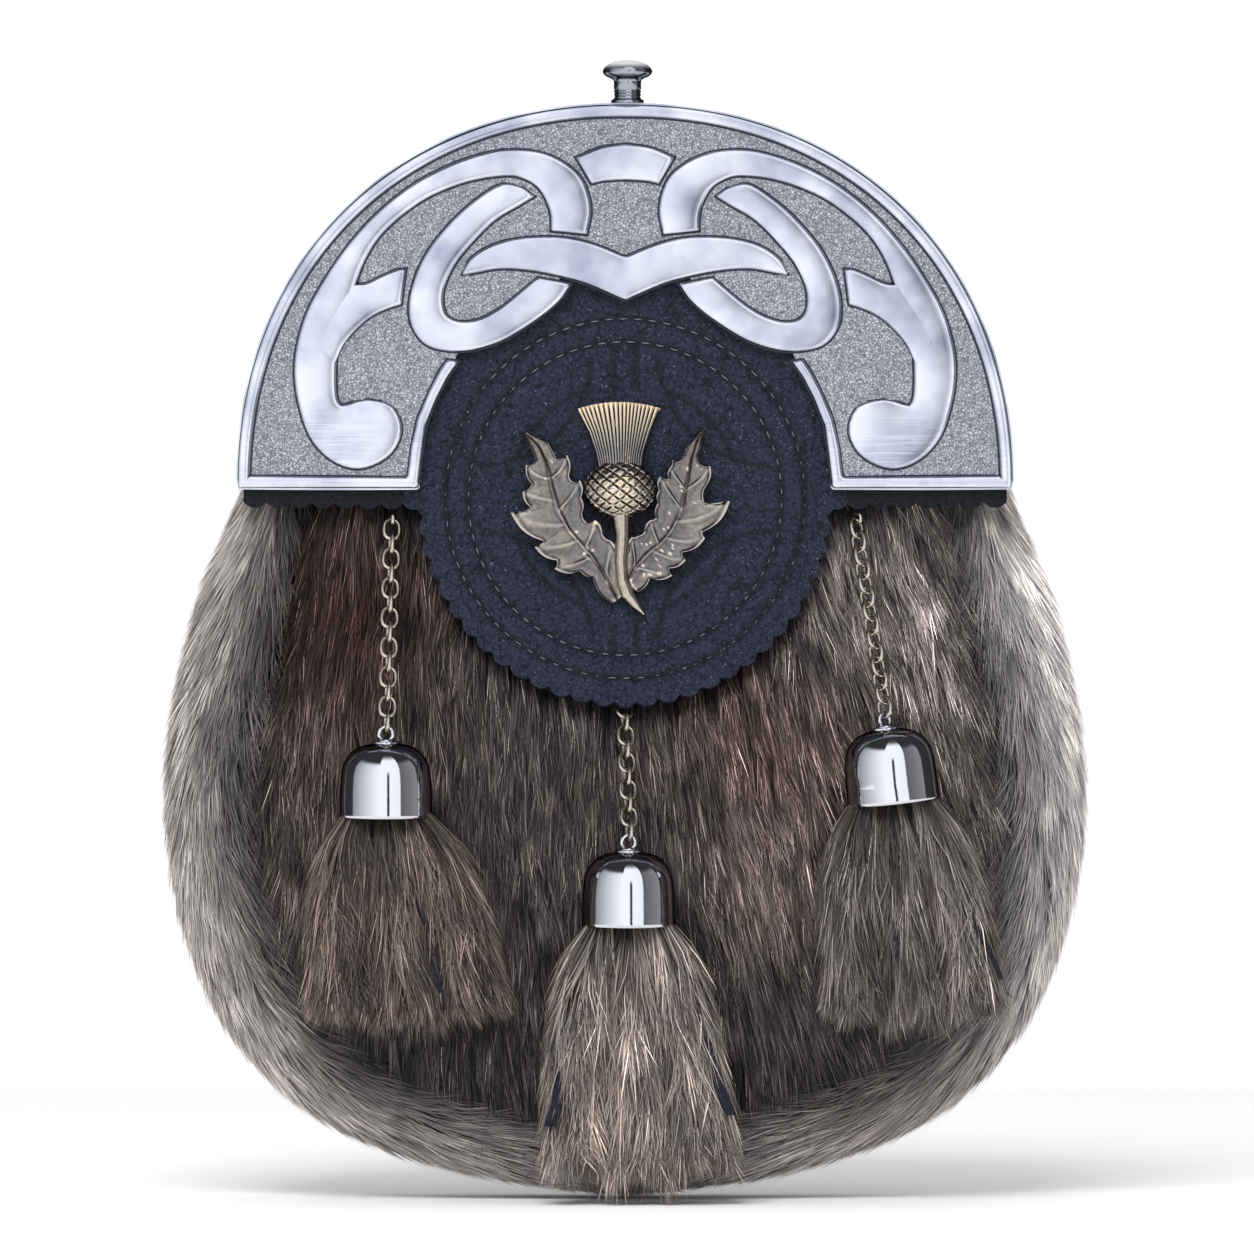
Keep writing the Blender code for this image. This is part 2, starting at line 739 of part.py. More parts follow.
def badge_point(x, rise, z):
    """A point of the badge, from its height above the badge's back."""
    share = (BADGE_TOP_Z - z) / (BADGE_TOP_Z - BADGE_FOOT_Z)
    back = APRON_BACK + APRON_THICK + GAP + BADGE_TILT * share
    return at(BADGE_X + x, back + rise, z)


def ridged(name, rows, edge, crest):
    """A leaf or stem: lofted from row to row, with a crest between its two edges."""
    rings = []
    for crest_x, crest_z, one_x, one_z, two_x, two_z in rows:
        rings.append((
            badge_point(one_x, 0.0, one_z),
            badge_point(one_x, edge, one_z),
            badge_point(crest_x, crest, crest_z),
            badge_point(two_x, edge, two_z),
            badge_point(two_x, 0.0, two_z),
        ))
    return helper(name, loft(rings), BRONZE)


def thistle_badge():
    """One casting: a bulb with a tuft above it, a stem and two toothed leaves."""
    x, z, half_wide, half_high, stands = BULB
    bm = bmesh.new()
    bmesh.ops.create_uvsphere(bm, u_segments=12, v_segments=9, radius=1.0)
    for vert in bm.verts:
        vert.co = badge_point(
            x + vert.co.x * half_wide, 0.7 - vert.co.y * stands, z + vert.co.z * half_high
        )
    back = badge_point(x, 0.05, z)
    tilt = badge_point(x, 0.05, z + 1.0) - back
    everything = bm.verts[:] + bm.edges[:] + bm.faces[:]
    behind = tilt.cross(Vector((1, 0, 0)))
    bmesh.ops.bisect_plane(bm, geom=everything, plane_co=back, plane_no=behind, clear_outer=True)
    bmesh.ops.holes_fill(bm, edges=bm.edges)
    bulb = mesh_object("thistle_badge", bm, BRONZE, pouch)
    unite(bulb, [
        ridged("badge_tuft", TUFT, TUFT_EDGE, TUFT_CREST),
        ridged("badge_stem", STEM, STEM_EDGE, STEM_CREST),
        ridged("badge_leaf_left", LEFT_LEAF, LEAF_EDGE, LEAF_CREST),
        ridged("badge_leaf_right", RIGHT_LEAF, LEAF_EDGE - 0.05, LEAF_CREST),
    ])
    return bulb


# ---- chains, bells and tassels


def link_mesh():
    """One oval link in its own XZ plane, its long way up. A round ring is pulled apart
    above and below its middle, so the wire keeps its thickness."""
    bpy.ops.mesh.primitive_torus_add(
        major_segments=10,
        minor_segments=5,
        major_radius=(LINK_WIDE - WIRE) / 2 * MM,
        minor_radius=WIRE / 2 * MM,
    )
    ring = bpy.context.object
    ring.data.transform(Matrix.Rotation(math.radians(18), 4, "Z"))
    ring.data.transform(Matrix.Rotation(math.radians(90), 4, "X"))
    for vert in ring.data.vertices:
        vert.co.z += math.copysign((LINK_LONG - LINK_WIDE) / 2 * MM, vert.co.z)
    data = ring.data
    data.name = "link"
    bpy.data.objects.remove(ring)
    data.shade_smooth()
    data.materials.append(NICKEL)
    return data


def hung(direction, turn):
    """The rotation of a piece that hangs along the direction: its Z up against it, its X
    to the pouch's right, then turned about its own Z."""
    up = -direction
    right = (Vector((1, 0, 0)) - up * up.x).normalized()
    lean = Matrix((right, up.cross(right), up)).transposed().to_4x4()
    return lean @ Matrix.Rotation(turn, 4, "Z")


def chain(side, first, top, axis, turn, link):
    """Links from the first one's middle to the bell's eye, each a quarter turn on from
    the one above. The last one holds the eye's ring where the pull meets its wire. Returns
    the way the chain hangs and the turn that the eye has."""
    held = ((LINK_LONG - WIRE) / 2 - WIRE - LINK_GAP) * MM
    longest = (LINK_LONG - 2 * WIRE - LINK_GAP) * MM
    eye = top - axis * EYE_RISE * MM
    pull = first - eye
    spans = math.ceil((pull.length - EYE_RADIUS * MM - held) / longest)
    eye_turn = turn + (spans + 1) * math.pi / 2
    through_ring = hung(axis, eye_turn).to_3x3() @ Vector((0, 1, 0))
    pull -= through_ring * pull.dot(through_ring)
    line = eye + pull.normalized() * EYE_RADIUS * MM - first
    direction = line.normalized()
    pitch = (line.length - held) / spans
    for i in range(spans + 1):
        made = bpy.data.objects.new(f"link_{side}_{i + 1:02}", link)
        pouch.objects.link(made)
        place = Matrix.Translation(first + direction * pitch * i)
        made.matrix_world = place @ hung(direction, turn + i * math.pi / 2)
    return direction, eye_turn


def staple(side, first, direction, turn):
    """The wire staple that holds the first link: two legs out of the hide and a bow."""
    inside = first - direction * (LINK_LONG / 2 - WIRE - STAPLE_WIRE / 2 - LINK_GAP) * MM
    outward = Matrix.Rotation(turn, 3, "Z") @ Vector((0, -1, 0))
    bow = inside + outward * (WIRE / 2 + STAPLE_WIRE / 2 + 0.6) * MM
    rise = Vector((0, 0, 2.15 * MM))
    points = []
    for lift in (Vector((0, 0, 0)), rise):
        foot = inside + lift
        x, z = foot.x / MM, foot.z / MM
        surface = BACK_Y - front_depth(x, z) - 2 * GAP - STAPLE_WIRE / 2 * abs(math.tan(turn))
        foot = foot + outward * (surface * MM - foot.y) / outward.y
        points.append((foot, bow + lift))
    (low_foot, low_bow), (high_foot, high_bow) = points
    ease = rise * 0.25
    route = [low_foot, low_bow - outward * 0.3 * MM, low_bow + ease]
    route += [high_bow - ease, high_bow - outward * 0.3 * MM, high_foot]
    return wire(f"staple_{side}", route, STAPLE_WIRE, NICKEL, pouch)


def bell(side, top, axis, turn):
    """A polished bell with a ring eye soldered on its top."""
    made = turned(f"bell_{side}", BELL, 12, CHROME, pouch)
    made.matrix_world = Matrix.Translation(top) @ hung(axis, 0.0)
    bpy.ops.mesh.primitive_torus_add(
        major_segments=10,
        minor_segments=5,
        major_radius=EYE_RADIUS * MM,
        minor_radius=WIRE / 2 * MM,
    )
    eye = bpy.context.object
    eye.name = f"bell_eye_{side}"
    for collection in list(eye.users_collection):
        collection.objects.unlink(eye)
    helpers.objects.link(eye)
    eye.hide_render = True
    eye.display_type = "WIRE"
    eye.data.transform(Matrix.Rotation(math.radians(18), 4, "Z"))
    eye.data.transform(Matrix.Rotation(math.radians(90), 4, "X"))
    eye.data.transform(Matrix.Rotation(turn, 4, "Z"))
    eye.data.transform(Matrix.Translation((0, 0, EYE_RISE * MM)))
    eye.matrix_world = made.matrix_world
    unite(made, [eye])
    return made


def tassel(side, top, axis, tip, half_wide):
    """Strips of fur in two rows, fused to a head that sits inside the bell."""
    frame = Matrix.Translation(top) @ hung(axis, 0.0)
    bm = bmesh.new()
    place = Matrix.Translation((0, 0, (HEAD_TOP + HEAD_FOOT) / 2 * MM))
    bmesh.ops.create_cone(
        bm,
        cap_ends=True,
        segments=12,
        radius1=HEAD_RADIUS * MM,
        radius2=(HEAD_RADIUS - 1.2) * MM,
        depth=(HEAD_TOP - HEAD_FOOT) * MM,
        matrix=frame @ place,
    )
    head = mesh_object(f"tassel_{side}", bm, FUR, pouch)
    strips = []
    for row, forward in (("front", 1.0), ("rear", -1.0)):
        for i in range(STRIPS):
            across = (i + 0.5) / STRIPS * 2 - 1
            spot = (across * STRIP_ROOT_HALF, -STRIP_ROOT_Y * forward, HEAD_FOOT + 2.5)
            root = frame @ (Vector(spot) * MM)
            end = tip + Vector((across * half_wide, -3.4 * forward, abs(across) * 3.0)) * MM
            rings = []
            for along, share, thick in STRIP_LEVELS:
                middle = root.lerp(end, along)
                wide = (STRIP_ROOT_HALF * (1 - along) + half_wide * along) / STRIPS * share
                rings.append([
                    middle + Vector((wide * u, thick * v / 2, 0.0)) * MM
                    for u, v in ((-1, 0), (-0.5, -1), (0.5, -1), (1, 0), (0.5, 1), (-0.5, 1))
                ])
            strips.append(helper(f"strip_{side}_{row}_{i + 1}", loft(rings), FUR))
    unite(head, strips)
    return head


def hang_all():
    link = link_mesh()
    for side, first, top, foot, tip, half_wide, degrees in HANGING:
        first, top, foot, tip = (at(*place) for place in (first, top, foot, tip))
        axis = (foot - top).normalized()
        turn = math.radians(degrees)
        direction, eye_turn = chain(side, first, top, axis, turn, link)
        staple(side, first, direction, turn)
        bell(side, top, axis, eye_turn)
        tassel(side, top, axis, tip, half_wide)


def strap_loop(side, x):
    """A plain wire loop that the waist strap passes through."""
    points = []
    for sign in (-1, 1):
        foot = BACK_Y - back_depth(sign * LOOP_HALF) + GAP + LOOP_WIRE / 2 * BACK_LEAN + 0.1
        bow = LOOP_FRONT_Y - LOOP_WIRE / 2
        leg = [(foot, LOOP_HALF), (bow - 1.6, LOOP_HALF), (bow - 0.5, LOOP_HALF - 0.5)]
        leg.append((bow, LOOP_HALF - 1.6))
        points.append([Vector((x, y, sign * z)) * MM for y, z in leg])
    return wire(f"strap_loop_{side}", points[0] + points[1][::-1], LOOP_WIRE, STEEL, pouch)


for item in list(bpy.data.objects):
    bpy.data.objects.remove(item)
pouch = named_collection("sporran_pouch")
helpers = named_collection("fused_pieces", hidden=True)

SILVER = material("antiqued silver", (0.55, 0.56, 0.60), 0.32, 1.0)
STEEL = material("bright nickel", (0.42, 0.42, 0.44), 0.25, 1.0)
CHROME = material("polished chrome", (0.66, 0.67, 0.70), 0.08, 1.0)
NICKEL = material("dull nickel wire", (0.55, 0.51, 0.46), 0.35, 1.0)
BRONZE = material("antiqued bronze", (0.46, 0.38, 0.28), 0.42, 1.0)
NAVY = material("navy grained leather", (0.018, 0.023, 0.05), 0.6)
LEATHER = material("black leather", (0.015, 0.015, 0.018), 0.55)
FUR = material("dark brown fur", (0.10, 0.075, 0.06), 0.9)
FUR_PALE = material("pale grey fur", (0.34, 0.31, 0.28), 0.9)

fur_front()
fur_gusset()
back_panel()
cantle()
cantle_knob()
apron()
thistle_badge()
hang_all()
strap_loop("left", -LOOP_X)
strap_loop("right", LOOP_X)
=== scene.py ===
"""The looks of a full-dress sporran pouch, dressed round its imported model.

Every piece lies in the model's own frame, front to -Y and up to +Z. Tables and sizes are
millimetres, and a depth is measured forward from the flat of the back."""

import math

import bmesh
import bpy
import numpy as np
from mathutils import Matrix, Vector, noise


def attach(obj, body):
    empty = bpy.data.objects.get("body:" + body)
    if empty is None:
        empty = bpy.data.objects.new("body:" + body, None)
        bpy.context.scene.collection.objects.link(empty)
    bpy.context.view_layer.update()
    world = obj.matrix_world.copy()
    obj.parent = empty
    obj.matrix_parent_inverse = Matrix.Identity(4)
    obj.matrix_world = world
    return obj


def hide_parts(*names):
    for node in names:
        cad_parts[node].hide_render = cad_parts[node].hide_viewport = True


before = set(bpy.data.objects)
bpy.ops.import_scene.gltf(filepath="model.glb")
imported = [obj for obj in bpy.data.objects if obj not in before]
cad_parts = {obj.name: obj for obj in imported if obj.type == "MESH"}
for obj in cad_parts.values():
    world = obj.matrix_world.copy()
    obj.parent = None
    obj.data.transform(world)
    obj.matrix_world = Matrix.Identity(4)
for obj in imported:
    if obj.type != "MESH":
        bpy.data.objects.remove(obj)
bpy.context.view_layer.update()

# ---- Back. One piece of 2 mm black leather, cut to the bag's shape and sewn round its
# edge with waxed thread. It is flat where it lies against the wearer and leans forward
# above. The grain is pressed in, with a dull finish that shines a little on its bumps.

MM = 0.001
WHOLE = (0.0, 1.0)
BACK_Y = 4.0  # the back's flat face, behind the strap
BACK_THICK = 2.0
BACK_TOP_Z, BACK_BEND_Z, BACK_LEAN = 16.0, -45.0, 10.0 / 61.0
REAR_INSET = 5.0  # from the roll's outermost line in to where it meets the back
BAG = (
    # outer_x, outer_z, seam_x, seam_z: round the bag's right side, from mouth to bottom
    (59.0, 14.0, 49.0, 14.0),
    (74.0, -12.0, 62.0, -12.0),
    (82.0, -42.0, 68.5, -44.0),
    (91.8, -67.0, 72.2, -67.0),
    (97.2, -92.0, 77.8, -93.0),
    (98.2, -112.0, 79.2, -112.0),
    (94.5, -136.0, 73.8, -135.0),
    (84.5, -158.5, 63.0, -154.5),
    (66.0, -176.5, 47.5, -165.5),
    (36.0, -188.0, 25.0, -172.5),
    (0.0, -192.9, 0.0, -175.0),
)


def at(x, depth, z):
    """A point of the pouch in metres."""
    return Vector((x, BACK_Y - depth, z)) * MM


def curve_through(rows, steps):
    """Points on a smooth curve through the rows, with this many steps from row to row."""
    rows = np.array(rows, float)
    before = np.vstack([2 * rows[0] - rows[1], rows[:-1]])
    after = np.vstack([rows[1:], 2 * rows[-1] - rows[-2]])
    slope = (after - before) / 2
    points = []
    for i in range(len(rows) - 1):
        for t in np.arange(steps) / steps:
            points.append(
                rows[i] * (2 * t**3 - 3 * t**2 + 1)
                + slope[i] * (t**3 - 2 * t**2 + t)
                + rows[i + 1] * (3 * t**2 - 2 * t**3)
                + slope[i + 1] * (t**3 - t**2)
            )
    points.append(rows[-1])
    return np.array(points)


def mirrored(rows):
    """Rows of x, z pairs on the other side, in the same order."""
    rows = np.array(rows, float)
    return rows * np.tile((-1.0, 1.0), rows.shape[1] // 2)


def both_halves(half):
    """A half given from its outer end to the middle, continued to the other outer end."""
    return np.vstack([half, mirrored(half)[-2::-1]])


def lengths_along(points):
    """How far along a line each of its points lies."""
    steps = np.linalg.norm(np.diff(points, axis=0), axis=1)
    return np.concatenate([[0.0], np.cumsum(steps)])


def linear(code):
    """A colour's sRGB hex code as the linear colour that a shader takes."""
    parts = [int(code[i : i + 2], 16) / 255 for i in (1, 3, 5)]
    return (*(c / 12.92 if c < 0.04045 else ((c + 0.055) / 1.055) ** 2.4 for c in parts), 1.0)


def new_material(name):
    made = bpy.data.materials.new(name)
    made.use_nodes = True
    return made


def feed(made, inputs, node=None):
    """Sets a node's inputs, the shader's if none is named: a value, or a node's output."""
    node = node or made.node_tree.nodes["Principled BSDF"]
    for name, value in inputs.items():
        if isinstance(value, bpy.types.NodeSocket):
            made.node_tree.links.new(value, node.inputs[name])
        else:
            node.inputs[name].default_value = value


def add(made, kind, inputs, **settings):
    """Adds a node to a material, with its settings and its inputs."""
    node = made.node_tree.nodes.new("ShaderNode" + kind)
    for name, value in settings.items():
        setattr(node, name, value)
    feed(made, inputs, node)
    return node


def spot_of(made):
    """Where a point of the surface lies in the pouch's frame."""
    return add(made, "TexCoord", {}).outputs["Object"]


def carried(made, name):
    """What the mesh carries under this name at each of its points."""
    return add(made, "Attribute", {}, attribute_name=name).outputs


def mottle(made, spot, size, detail, warp=0.0):
    """Noise in patches of about this size in mm."""
    inputs = {"Vector": spot, "Scale": 1 / (size * MM), "Detail": detail, "Distortion": warp}
    return add(made, "TexNoise", inputs).outputs


def cell_pattern(made, spot, size, feature):
    """Distances in a pattern of cells of about this size in mm."""
    inputs = {"Vector": spot, "Scale": 1 / (size * MM)}
    return add(made, "TexVoronoi", inputs, feature=feature).outputs["Distance"]


def ramp(made, value, over=WHOLE, gives=WHOLE, **settings):
    """Goes from one end of gives to the other while the value goes over its own range."""
    inputs = dict(enumerate((value, *over, *gives)))
    return add(made, "MapRange", inputs, **settings).outputs[0]


def blend(made, share, one, other):
    """A colour from one to the other: each is a hex code or a node's output."""
    ends = [linear(end) if isinstance(end, str) else end for end in (one, other)]
    inputs = {0: share, 6: ends[0], 7: ends[1]}
    return add(made, "Mix", inputs, data_type="RGBA").outputs[2]


def calc(made, operation, *values):
    """Arithmetic on two or three values."""
    return add(made, "Math", dict(enumerate(values)), operation=operation).outputs[0]


def bumps(made, height, deep, strength):
    """The surface's tilt over bumps that follow a pattern's height, this deep in mm."""
    inputs = {"Height": height, "Distance": deep * MM, "Strength": strength}
    return add(made, "Bump", inputs).outputs["Normal"]


def put(name, data):
    """An object in the scene."""
    made = bpy.data.objects.new(name, data)
    bpy.context.scene.collection.objects.link(made)
    return made


def finish(name, bm, looks, replaced=(), sharp=40):
    """Ends a bmesh in a piece of the pouch, with its finishes and its place in the frame."""
    data = bpy.data.meshes.new(name)
    bm.to_mesh(data)
    bm.free()
    data.shade_smooth()
    data.set_sharp_from_angle(angle=math.radians(sharp))
    return fit(name, data, looks, replaced)


def fit(name, data, looks, replaced):
    """Puts a mesh in the scene as a piece that belongs to the pouch."""
    piece = put(name, data)
    for look in looks:
        data.materials.append(look)
    if replaced:
        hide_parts(*replaced)
    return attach(piece, "root")


def cut_sheet(outline, uprights, levels):
    """A flat piece cut to its outline, its faces divided along upright and level lines."""
    bm = bmesh.new()
    bm.faces.new([bm.verts.new(at(x, 0.0, z)) for x, z in outline])
    for direction, places in (((1, 0, 0), uprights), ((0, 0, 1), levels)):
        for place in places:
            everything = bm.verts[:] + bm.edges[:] + bm.faces[:]
            middle = Vector(direction) * place * MM
            bmesh.ops.bisect_plane(
                bm, geom=everything, dist=1e-7, plane_co=middle, plane_no=direction
            )
    return bm


def thicken(piece, thick, edge):
    """Gives a sheet its thickness behind its outer face, with a rounded cut edge."""
    wall = piece.modifiers.new("thickness", "SOLIDIFY")
    wall.thickness = thick * MM
    wall.offset = -1.0
    wall.use_even_offset = True
    rounding = piece.modifiers.new("cut edge", "BEVEL")
    rounding.width = edge * MM
    rounding.segments = 2
    rounding.limit_method = "ANGLE"
    rounding.angle_limit = math.radians(50)


def sew(bm, path, pitch, long, thread):
    """Stitches along a line of points: each a short length of thread pulled into its holes."""
    path = np.array([tuple(point) for point in path])
    length = lengths_along(path)
    count = round(length[-1] / (pitch * MM))
    for i in range(count):
        spots = [(i + 0.5) * length[-1] / count + side * pitch * MM / 4 for side in (-1, 0, 1)]
        before, middle, after = (
            Vector([np.interp(spot, length, path[:, axis]) for axis in range(3)]) for spot in spots
        )
        lie = (after - before).to_track_quat("X", "Y").to_matrix().to_4x4()
        size = Matrix.Diagonal((long / 2 * MM, thread / 2 * MM, thread / 2 * MM, 1.0))
        place = Matrix.Translation(middle) @ lie @ size
        bmesh.ops.create_uvsphere(bm, u_segments=6, v_segments=5, radius=1.0, matrix=place)


def pressed_leather(name, colour, worn, fleck, pebble):
    """Chrome-tanned leather with a pressed grain: pebbles and fine wrinkles, the tops rubbed
    a little lighter, long dark creases, and pale flecks where the finish has cracked. It is
    darker where a tool has pressed it, and where the mesh carries painted shade."""
    made = new_material(name)
    spot = spot_of(made)
    grain = cell_pattern(made, spot, pebble, "SMOOTH_F1")
    wrinkles = mottle(made, spot, pebble * 1.6, 6.0, 1.6)["Fac"]
    grit = mottle(made, spot, 0.42, 2.0)["Fac"]
    bent = mottle(made, spot, 9.0, 3.0)["Color"]
    wander = add(made, "VectorMath", {0: bent, "Scale": 7 * MM}, operation="SCALE")
    moved = add(made, "VectorMath", {0: spot, 1: wander.outputs[0]}, operation="ADD")
    folds = cell_pattern(made, moved.outputs[0], 15.0, "DISTANCE_TO_EDGE")
    fold = ramp(made, folds, (0.0, 0.025), (0.8, 0.0))
    # the mesh's value darkens the tooling and also lays painted shade
    marked = calc(made, "MAXIMUM", fold, carried(made, "tooling_and_painted_shade")["Fac"])
    height = calc(made, "MULTIPLY_ADD", grain, -0.6, wrinkles)
    sunk = calc(made, "MULTIPLY_ADD", fold, -0.5, height)
    rubbed = ramp(made, height, (0.0, 0.45))
    specks = ramp(made, grit, (0.66, 0.76), (0.0, 0.7))
    flecked = blend(made, specks, blend(made, rubbed, colour, worn), fleck)
    darkened = ramp(made, marked, gives=(1.0, 0.25))
    dyed = add(made, "HueSaturation", {"Color": flecked, "Value": darkened})
    feed(made, {
        "Base Color": dyed.outputs[0],
        "Roughness": ramp(made, rubbed, gives=(0.66, 0.5)),
        "Normal": bumps(made, sunk, 0.22, 0.7),
        "Specular IOR Level": 0.25,
    })
    return made


def face_front(bm, way=-1):
    """Turns a sheet's faces to the front, or with the other way to the back."""
    bmesh.ops.recalc_face_normals(bm, faces=bm.faces)
    if sum(face.normal.y for face in bm.faces) * way < 0:
        bmesh.ops.reverse_faces(bm, faces=bm.faces)


def back_depth(z):
    """Depth of the back's outer face, which leans forward above its bend."""
    return max(0.0, z - BACK_BEND_Z) * BACK_LEAN


def back_edge(inset):
    """The back's outline, this far inside the line where the roll meets it."""
    rows = both_halves(mirrored(curve_through(BAG, 6)))
    out = rows[:, :2] - rows[:, 2:]
    wide = np.linalg.norm(out, axis=1)[:, None]
    edge = rows[:, 2:] + out / wide * (wide - REAR_INSET - inset)
    corner = edge[0, 0]
    return [(corner, BACK_TOP_Z - inset + 1), *edge, (-corner, BACK_TOP_Z - inset + 1)]


BLACK_LEATHER = pressed_leather("black pressed leather", "#131316", "#212125", "#3a3a40", 1.1)
WAXED_THREAD = new_material("waxed linen thread")
plies = {"Vector": spot_of(WAXED_THREAD), "Scale": 900.0}
twist = add(WAXED_THREAD, "TexWave", plies, bands_direction="DIAGONAL").outputs["Fac"]
feed(WAXED_THREAD, {
    "Base Color": linear("#6c7078"),
    "Roughness": 0.6,
    "Normal": bumps(WAXED_THREAD, twist, 0.05, 1.0),
})

bm = cut_sheet(back_edge(1.0), range(-84, 85, 6), range(-180, 16, 5))
for vert in bm.verts:
    vert.co.y = (BACK_Y - back_depth(vert.co.z / MM)) * MM
face_front(bm, 1)
back = finish("back_leather", bm, [BLACK_LEATHER], ["back_panel"])
thicken(back, BACK_THICK, 0.5)
bm = bmesh.new()
sew(bm, [at(x, back_depth(z) - 0.05, z) for x, z in back_edge(4.5)], 3.4, 2.6, 0.5)
finish("back_stitching", bm, [WAXED_THREAD])

# ---- Strap loops. Two plain wire loops of bright nickel-plated steel, their legs riveted
# through the back. The waist strap passes through them. Plated wire is smooth, with a
# fine drawn grain that softens what it mirrors.


def plated(name, colour, roughness, grain, dull=0.12):
    """A plated or polished metal, softened unevenly by handling and a fine grain. Like
    chrome and nickel it mirrors less where it is seen aslant."""
    made = new_material(name)
    spot = spot_of(made)
    smears = mottle(made, spot, 6.0, 4.0)["Fac"]
    feed(made, {
        "Base Color": linear(colour),
        "Metallic": 1.0,
        "Roughness": ramp(made, smears, gives=(roughness, roughness + dull)),
        "Normal": bumps(made, mottle(made, spot, grain, 2.0)["Fac"], 0.01, 0.3),
        "Specular Tint": linear("#000000"),
    })
    return made


def rounded_copy(name, nodes, swell, look):
    """The model's own wires, joined in one piece, their facets rounded. Rounding draws
    them in, so they are swelled first."""
    bm = bmesh.new()
    for node in nodes:
        bm.from_mesh(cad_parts[node].data)
    bmesh.ops.remove_doubles(bm, verts=bm.verts, dist=1e-6)
    bmesh.ops.join_triangles(
        bm, faces=bm.faces, angle_face_threshold=math.radians(40), angle_shape_threshold=math.pi
    )
    bm.normal_update()
    for vert, move in [(vert, vert.normal * swell * MM) for vert in bm.verts]:
        vert.co += move
    piece = finish(name, bm, [look], nodes, sharp=180)
    rounding = piece.modifiers.new("rounding", "SUBSURF")
    rounding.levels = rounding.render_levels = 2
    return piece


BRIGHT_NICKEL = plated("bright nickel plate", "#8d8f96", 0.16, 0.4)
for side in ("left", "right"):
    rounded_copy(f"{side}_strap_loop", [f"strap_loop_{side}"], 0.2, BRIGHT_NICKEL)

# ---- Gusset. A U-shaped roll of pale grey fur on its hide, sewn to the front panel at the
# seam and to the back behind. Its hair runs down each side from the mouth and meets at the
# middle of the bottom. Each hair is dark at its root and pale towards its tip.

GAP = 0.3
FUR_FRONTS = (
    # z, at_seam, at_middle: how far the front stands forward, down the bag
    (14.0, 28.5, 28.5),
    (-28.0, 28.5, 28.5),
    (-44.0, 25.6, 25.6),
    (-58.0, 28.5, 27.8),
    (-72.0, 32.0, 30.6),
    (-88.0, 35.2, 35.2),
    (-100.0, 36.4, 38.0),
    (-115.0, 37.0, 40.4),
    (-130.0, 37.0, 41.4),
    (-145.0, 36.6, 41.0),
    (-160.0, 35.6, 38.8),
    (-175.0, 34.5, 34.5),
)
ROLL_STATIONS, ROLL_TURNS = 161, 25
ROLL_FRONT = 0.6  # share of the roll's girth that is in front of its widest line
ROLL_GIRTH = 47.0
SEAM_DIP = 3.4  # the fur sinks this far where the seam pulls it in
HIDE_SUNK, HIDE_THICK = 3.0, 1.5  # how deep a hide lies under its hair, and its own thickness
HAIR_BENDS = 2  # straight lengths in each hair


def roll_table():
    """Points over the roll: a row for each station, from the left mouth end round to the
    right one, each from the seam in front over the widest line to the back."""
    path = both_halves(mirrored(curve_through(BAG, 8)))
    along = lengths_along((path[:, :2] + path[:, 2:]) / 2)
    table = []
    for place in np.linspace(0.0, along[-1], ROLL_STATIONS):
        outer_x, outer_z, seam_x, seam_z = (np.interp(place, along, column) for column in path.T)
        wide = math.hypot(outer_x - seam_x, outer_z - seam_z)
        out_x, out_z = (outer_x - seam_x) / wide, (outer_z - seam_z) / wide
        front = np.interp(seam_z, *np.array(FUR_FRONTS)[::-1, :2].T) - GAP
        rear = back_depth(outer_z) + BACK_THICK + GAP
        middle = (front + rear) / 2
        row = []
        for turn in np.linspace(0.0, 1.0, ROLL_TURNS):
            if turn < ROLL_FRONT:
                angle = math.radians(90) * turn / ROLL_FRONT
                u = wide * math.sin(angle) ** 0.9
                depth = middle + (front - middle) * math.cos(angle) ** 0.7
            else:
                angle = math.radians(90) * (turn - ROLL_FRONT) / (1 - ROLL_FRONT)
                u = wide - REAR_INSET * (1 - math.cos(angle))
                depth = middle - (middle - rear) * math.sin(angle)
            depth -= SEAM_DIP * math.exp(-((turn / 0.09) ** 2))
            row.append(at(seam_x + out_x * u, depth, seam_z + out_z * u))
        table.append(row)
    return np.array(table), along[-1]


def skin_over(table, wide):
    """A skin through a table of points. Called with places on it, along its width and in
    shares of its girth, it returns their points and outward directions."""
    along = np.gradient(table, axis=0)
    across = np.gradient(table, axis=1)
    out = np.cross(across, along)
    out /= np.linalg.norm(out, axis=2, keepdims=True) + 1e-12
    rows, columns = table.shape[0] - 1, table.shape[1] - 1

    def skin(places):
        row = np.clip(places[:, 0] / wide, 0, 1) * rows
        column = np.clip(places[:, 1], 0, 1) * columns
        i = np.minimum(row.astype(int), rows - 1)
        j = np.minimum(column.astype(int), columns - 1)
        f, g = (row - i)[:, None], (column - j)[:, None]
        points, outward = [
            (grid[i, j] * (1 - f) + grid[i + 1, j] * f) * (1 - g)
            + (grid[i, j + 1] * (1 - f) + grid[i + 1, j + 1] * f) * g
            for grid in (table, out)
        ]
        # what crosses the first edge goes on level
        past = np.minimum(places[:, 1:] * columns, 0)
        return points + past * (table[i, 1] - table[i, 0]) * (1, 0, 1), outward

    return skin


def shaped_grid(columns, rows, place):
    """A grid of cells, each of its points put where place says for its shares across and up."""
    bm = bmesh.new()
    bmesh.ops.create_grid(bm, x_segments=columns, y_segments=rows, size=0.5)
    for vert in bm.verts:
        vert.co = place(vert.co.x + 0.5, vert.co.y + 0.5)
    return bm


def hide_point(skin, place):
    """The point of a hide under a place on the skin that its hair makes."""
    (point,), (out,) = skin(np.array([place]))
    return Vector(point) - Vector(out) * HIDE_SUNK * MM


def lay_hide(name, bm):
    """A hide that hair grows from, its thickness inward from its outer face."""
    piece = finish(name, bm, [HIDE_LOOK])
    wall = piece.modifiers.new("thickness", "SOLIDIFY")
    wall.thickness = HIDE_THICK * MM
    wall.offset = -1.0


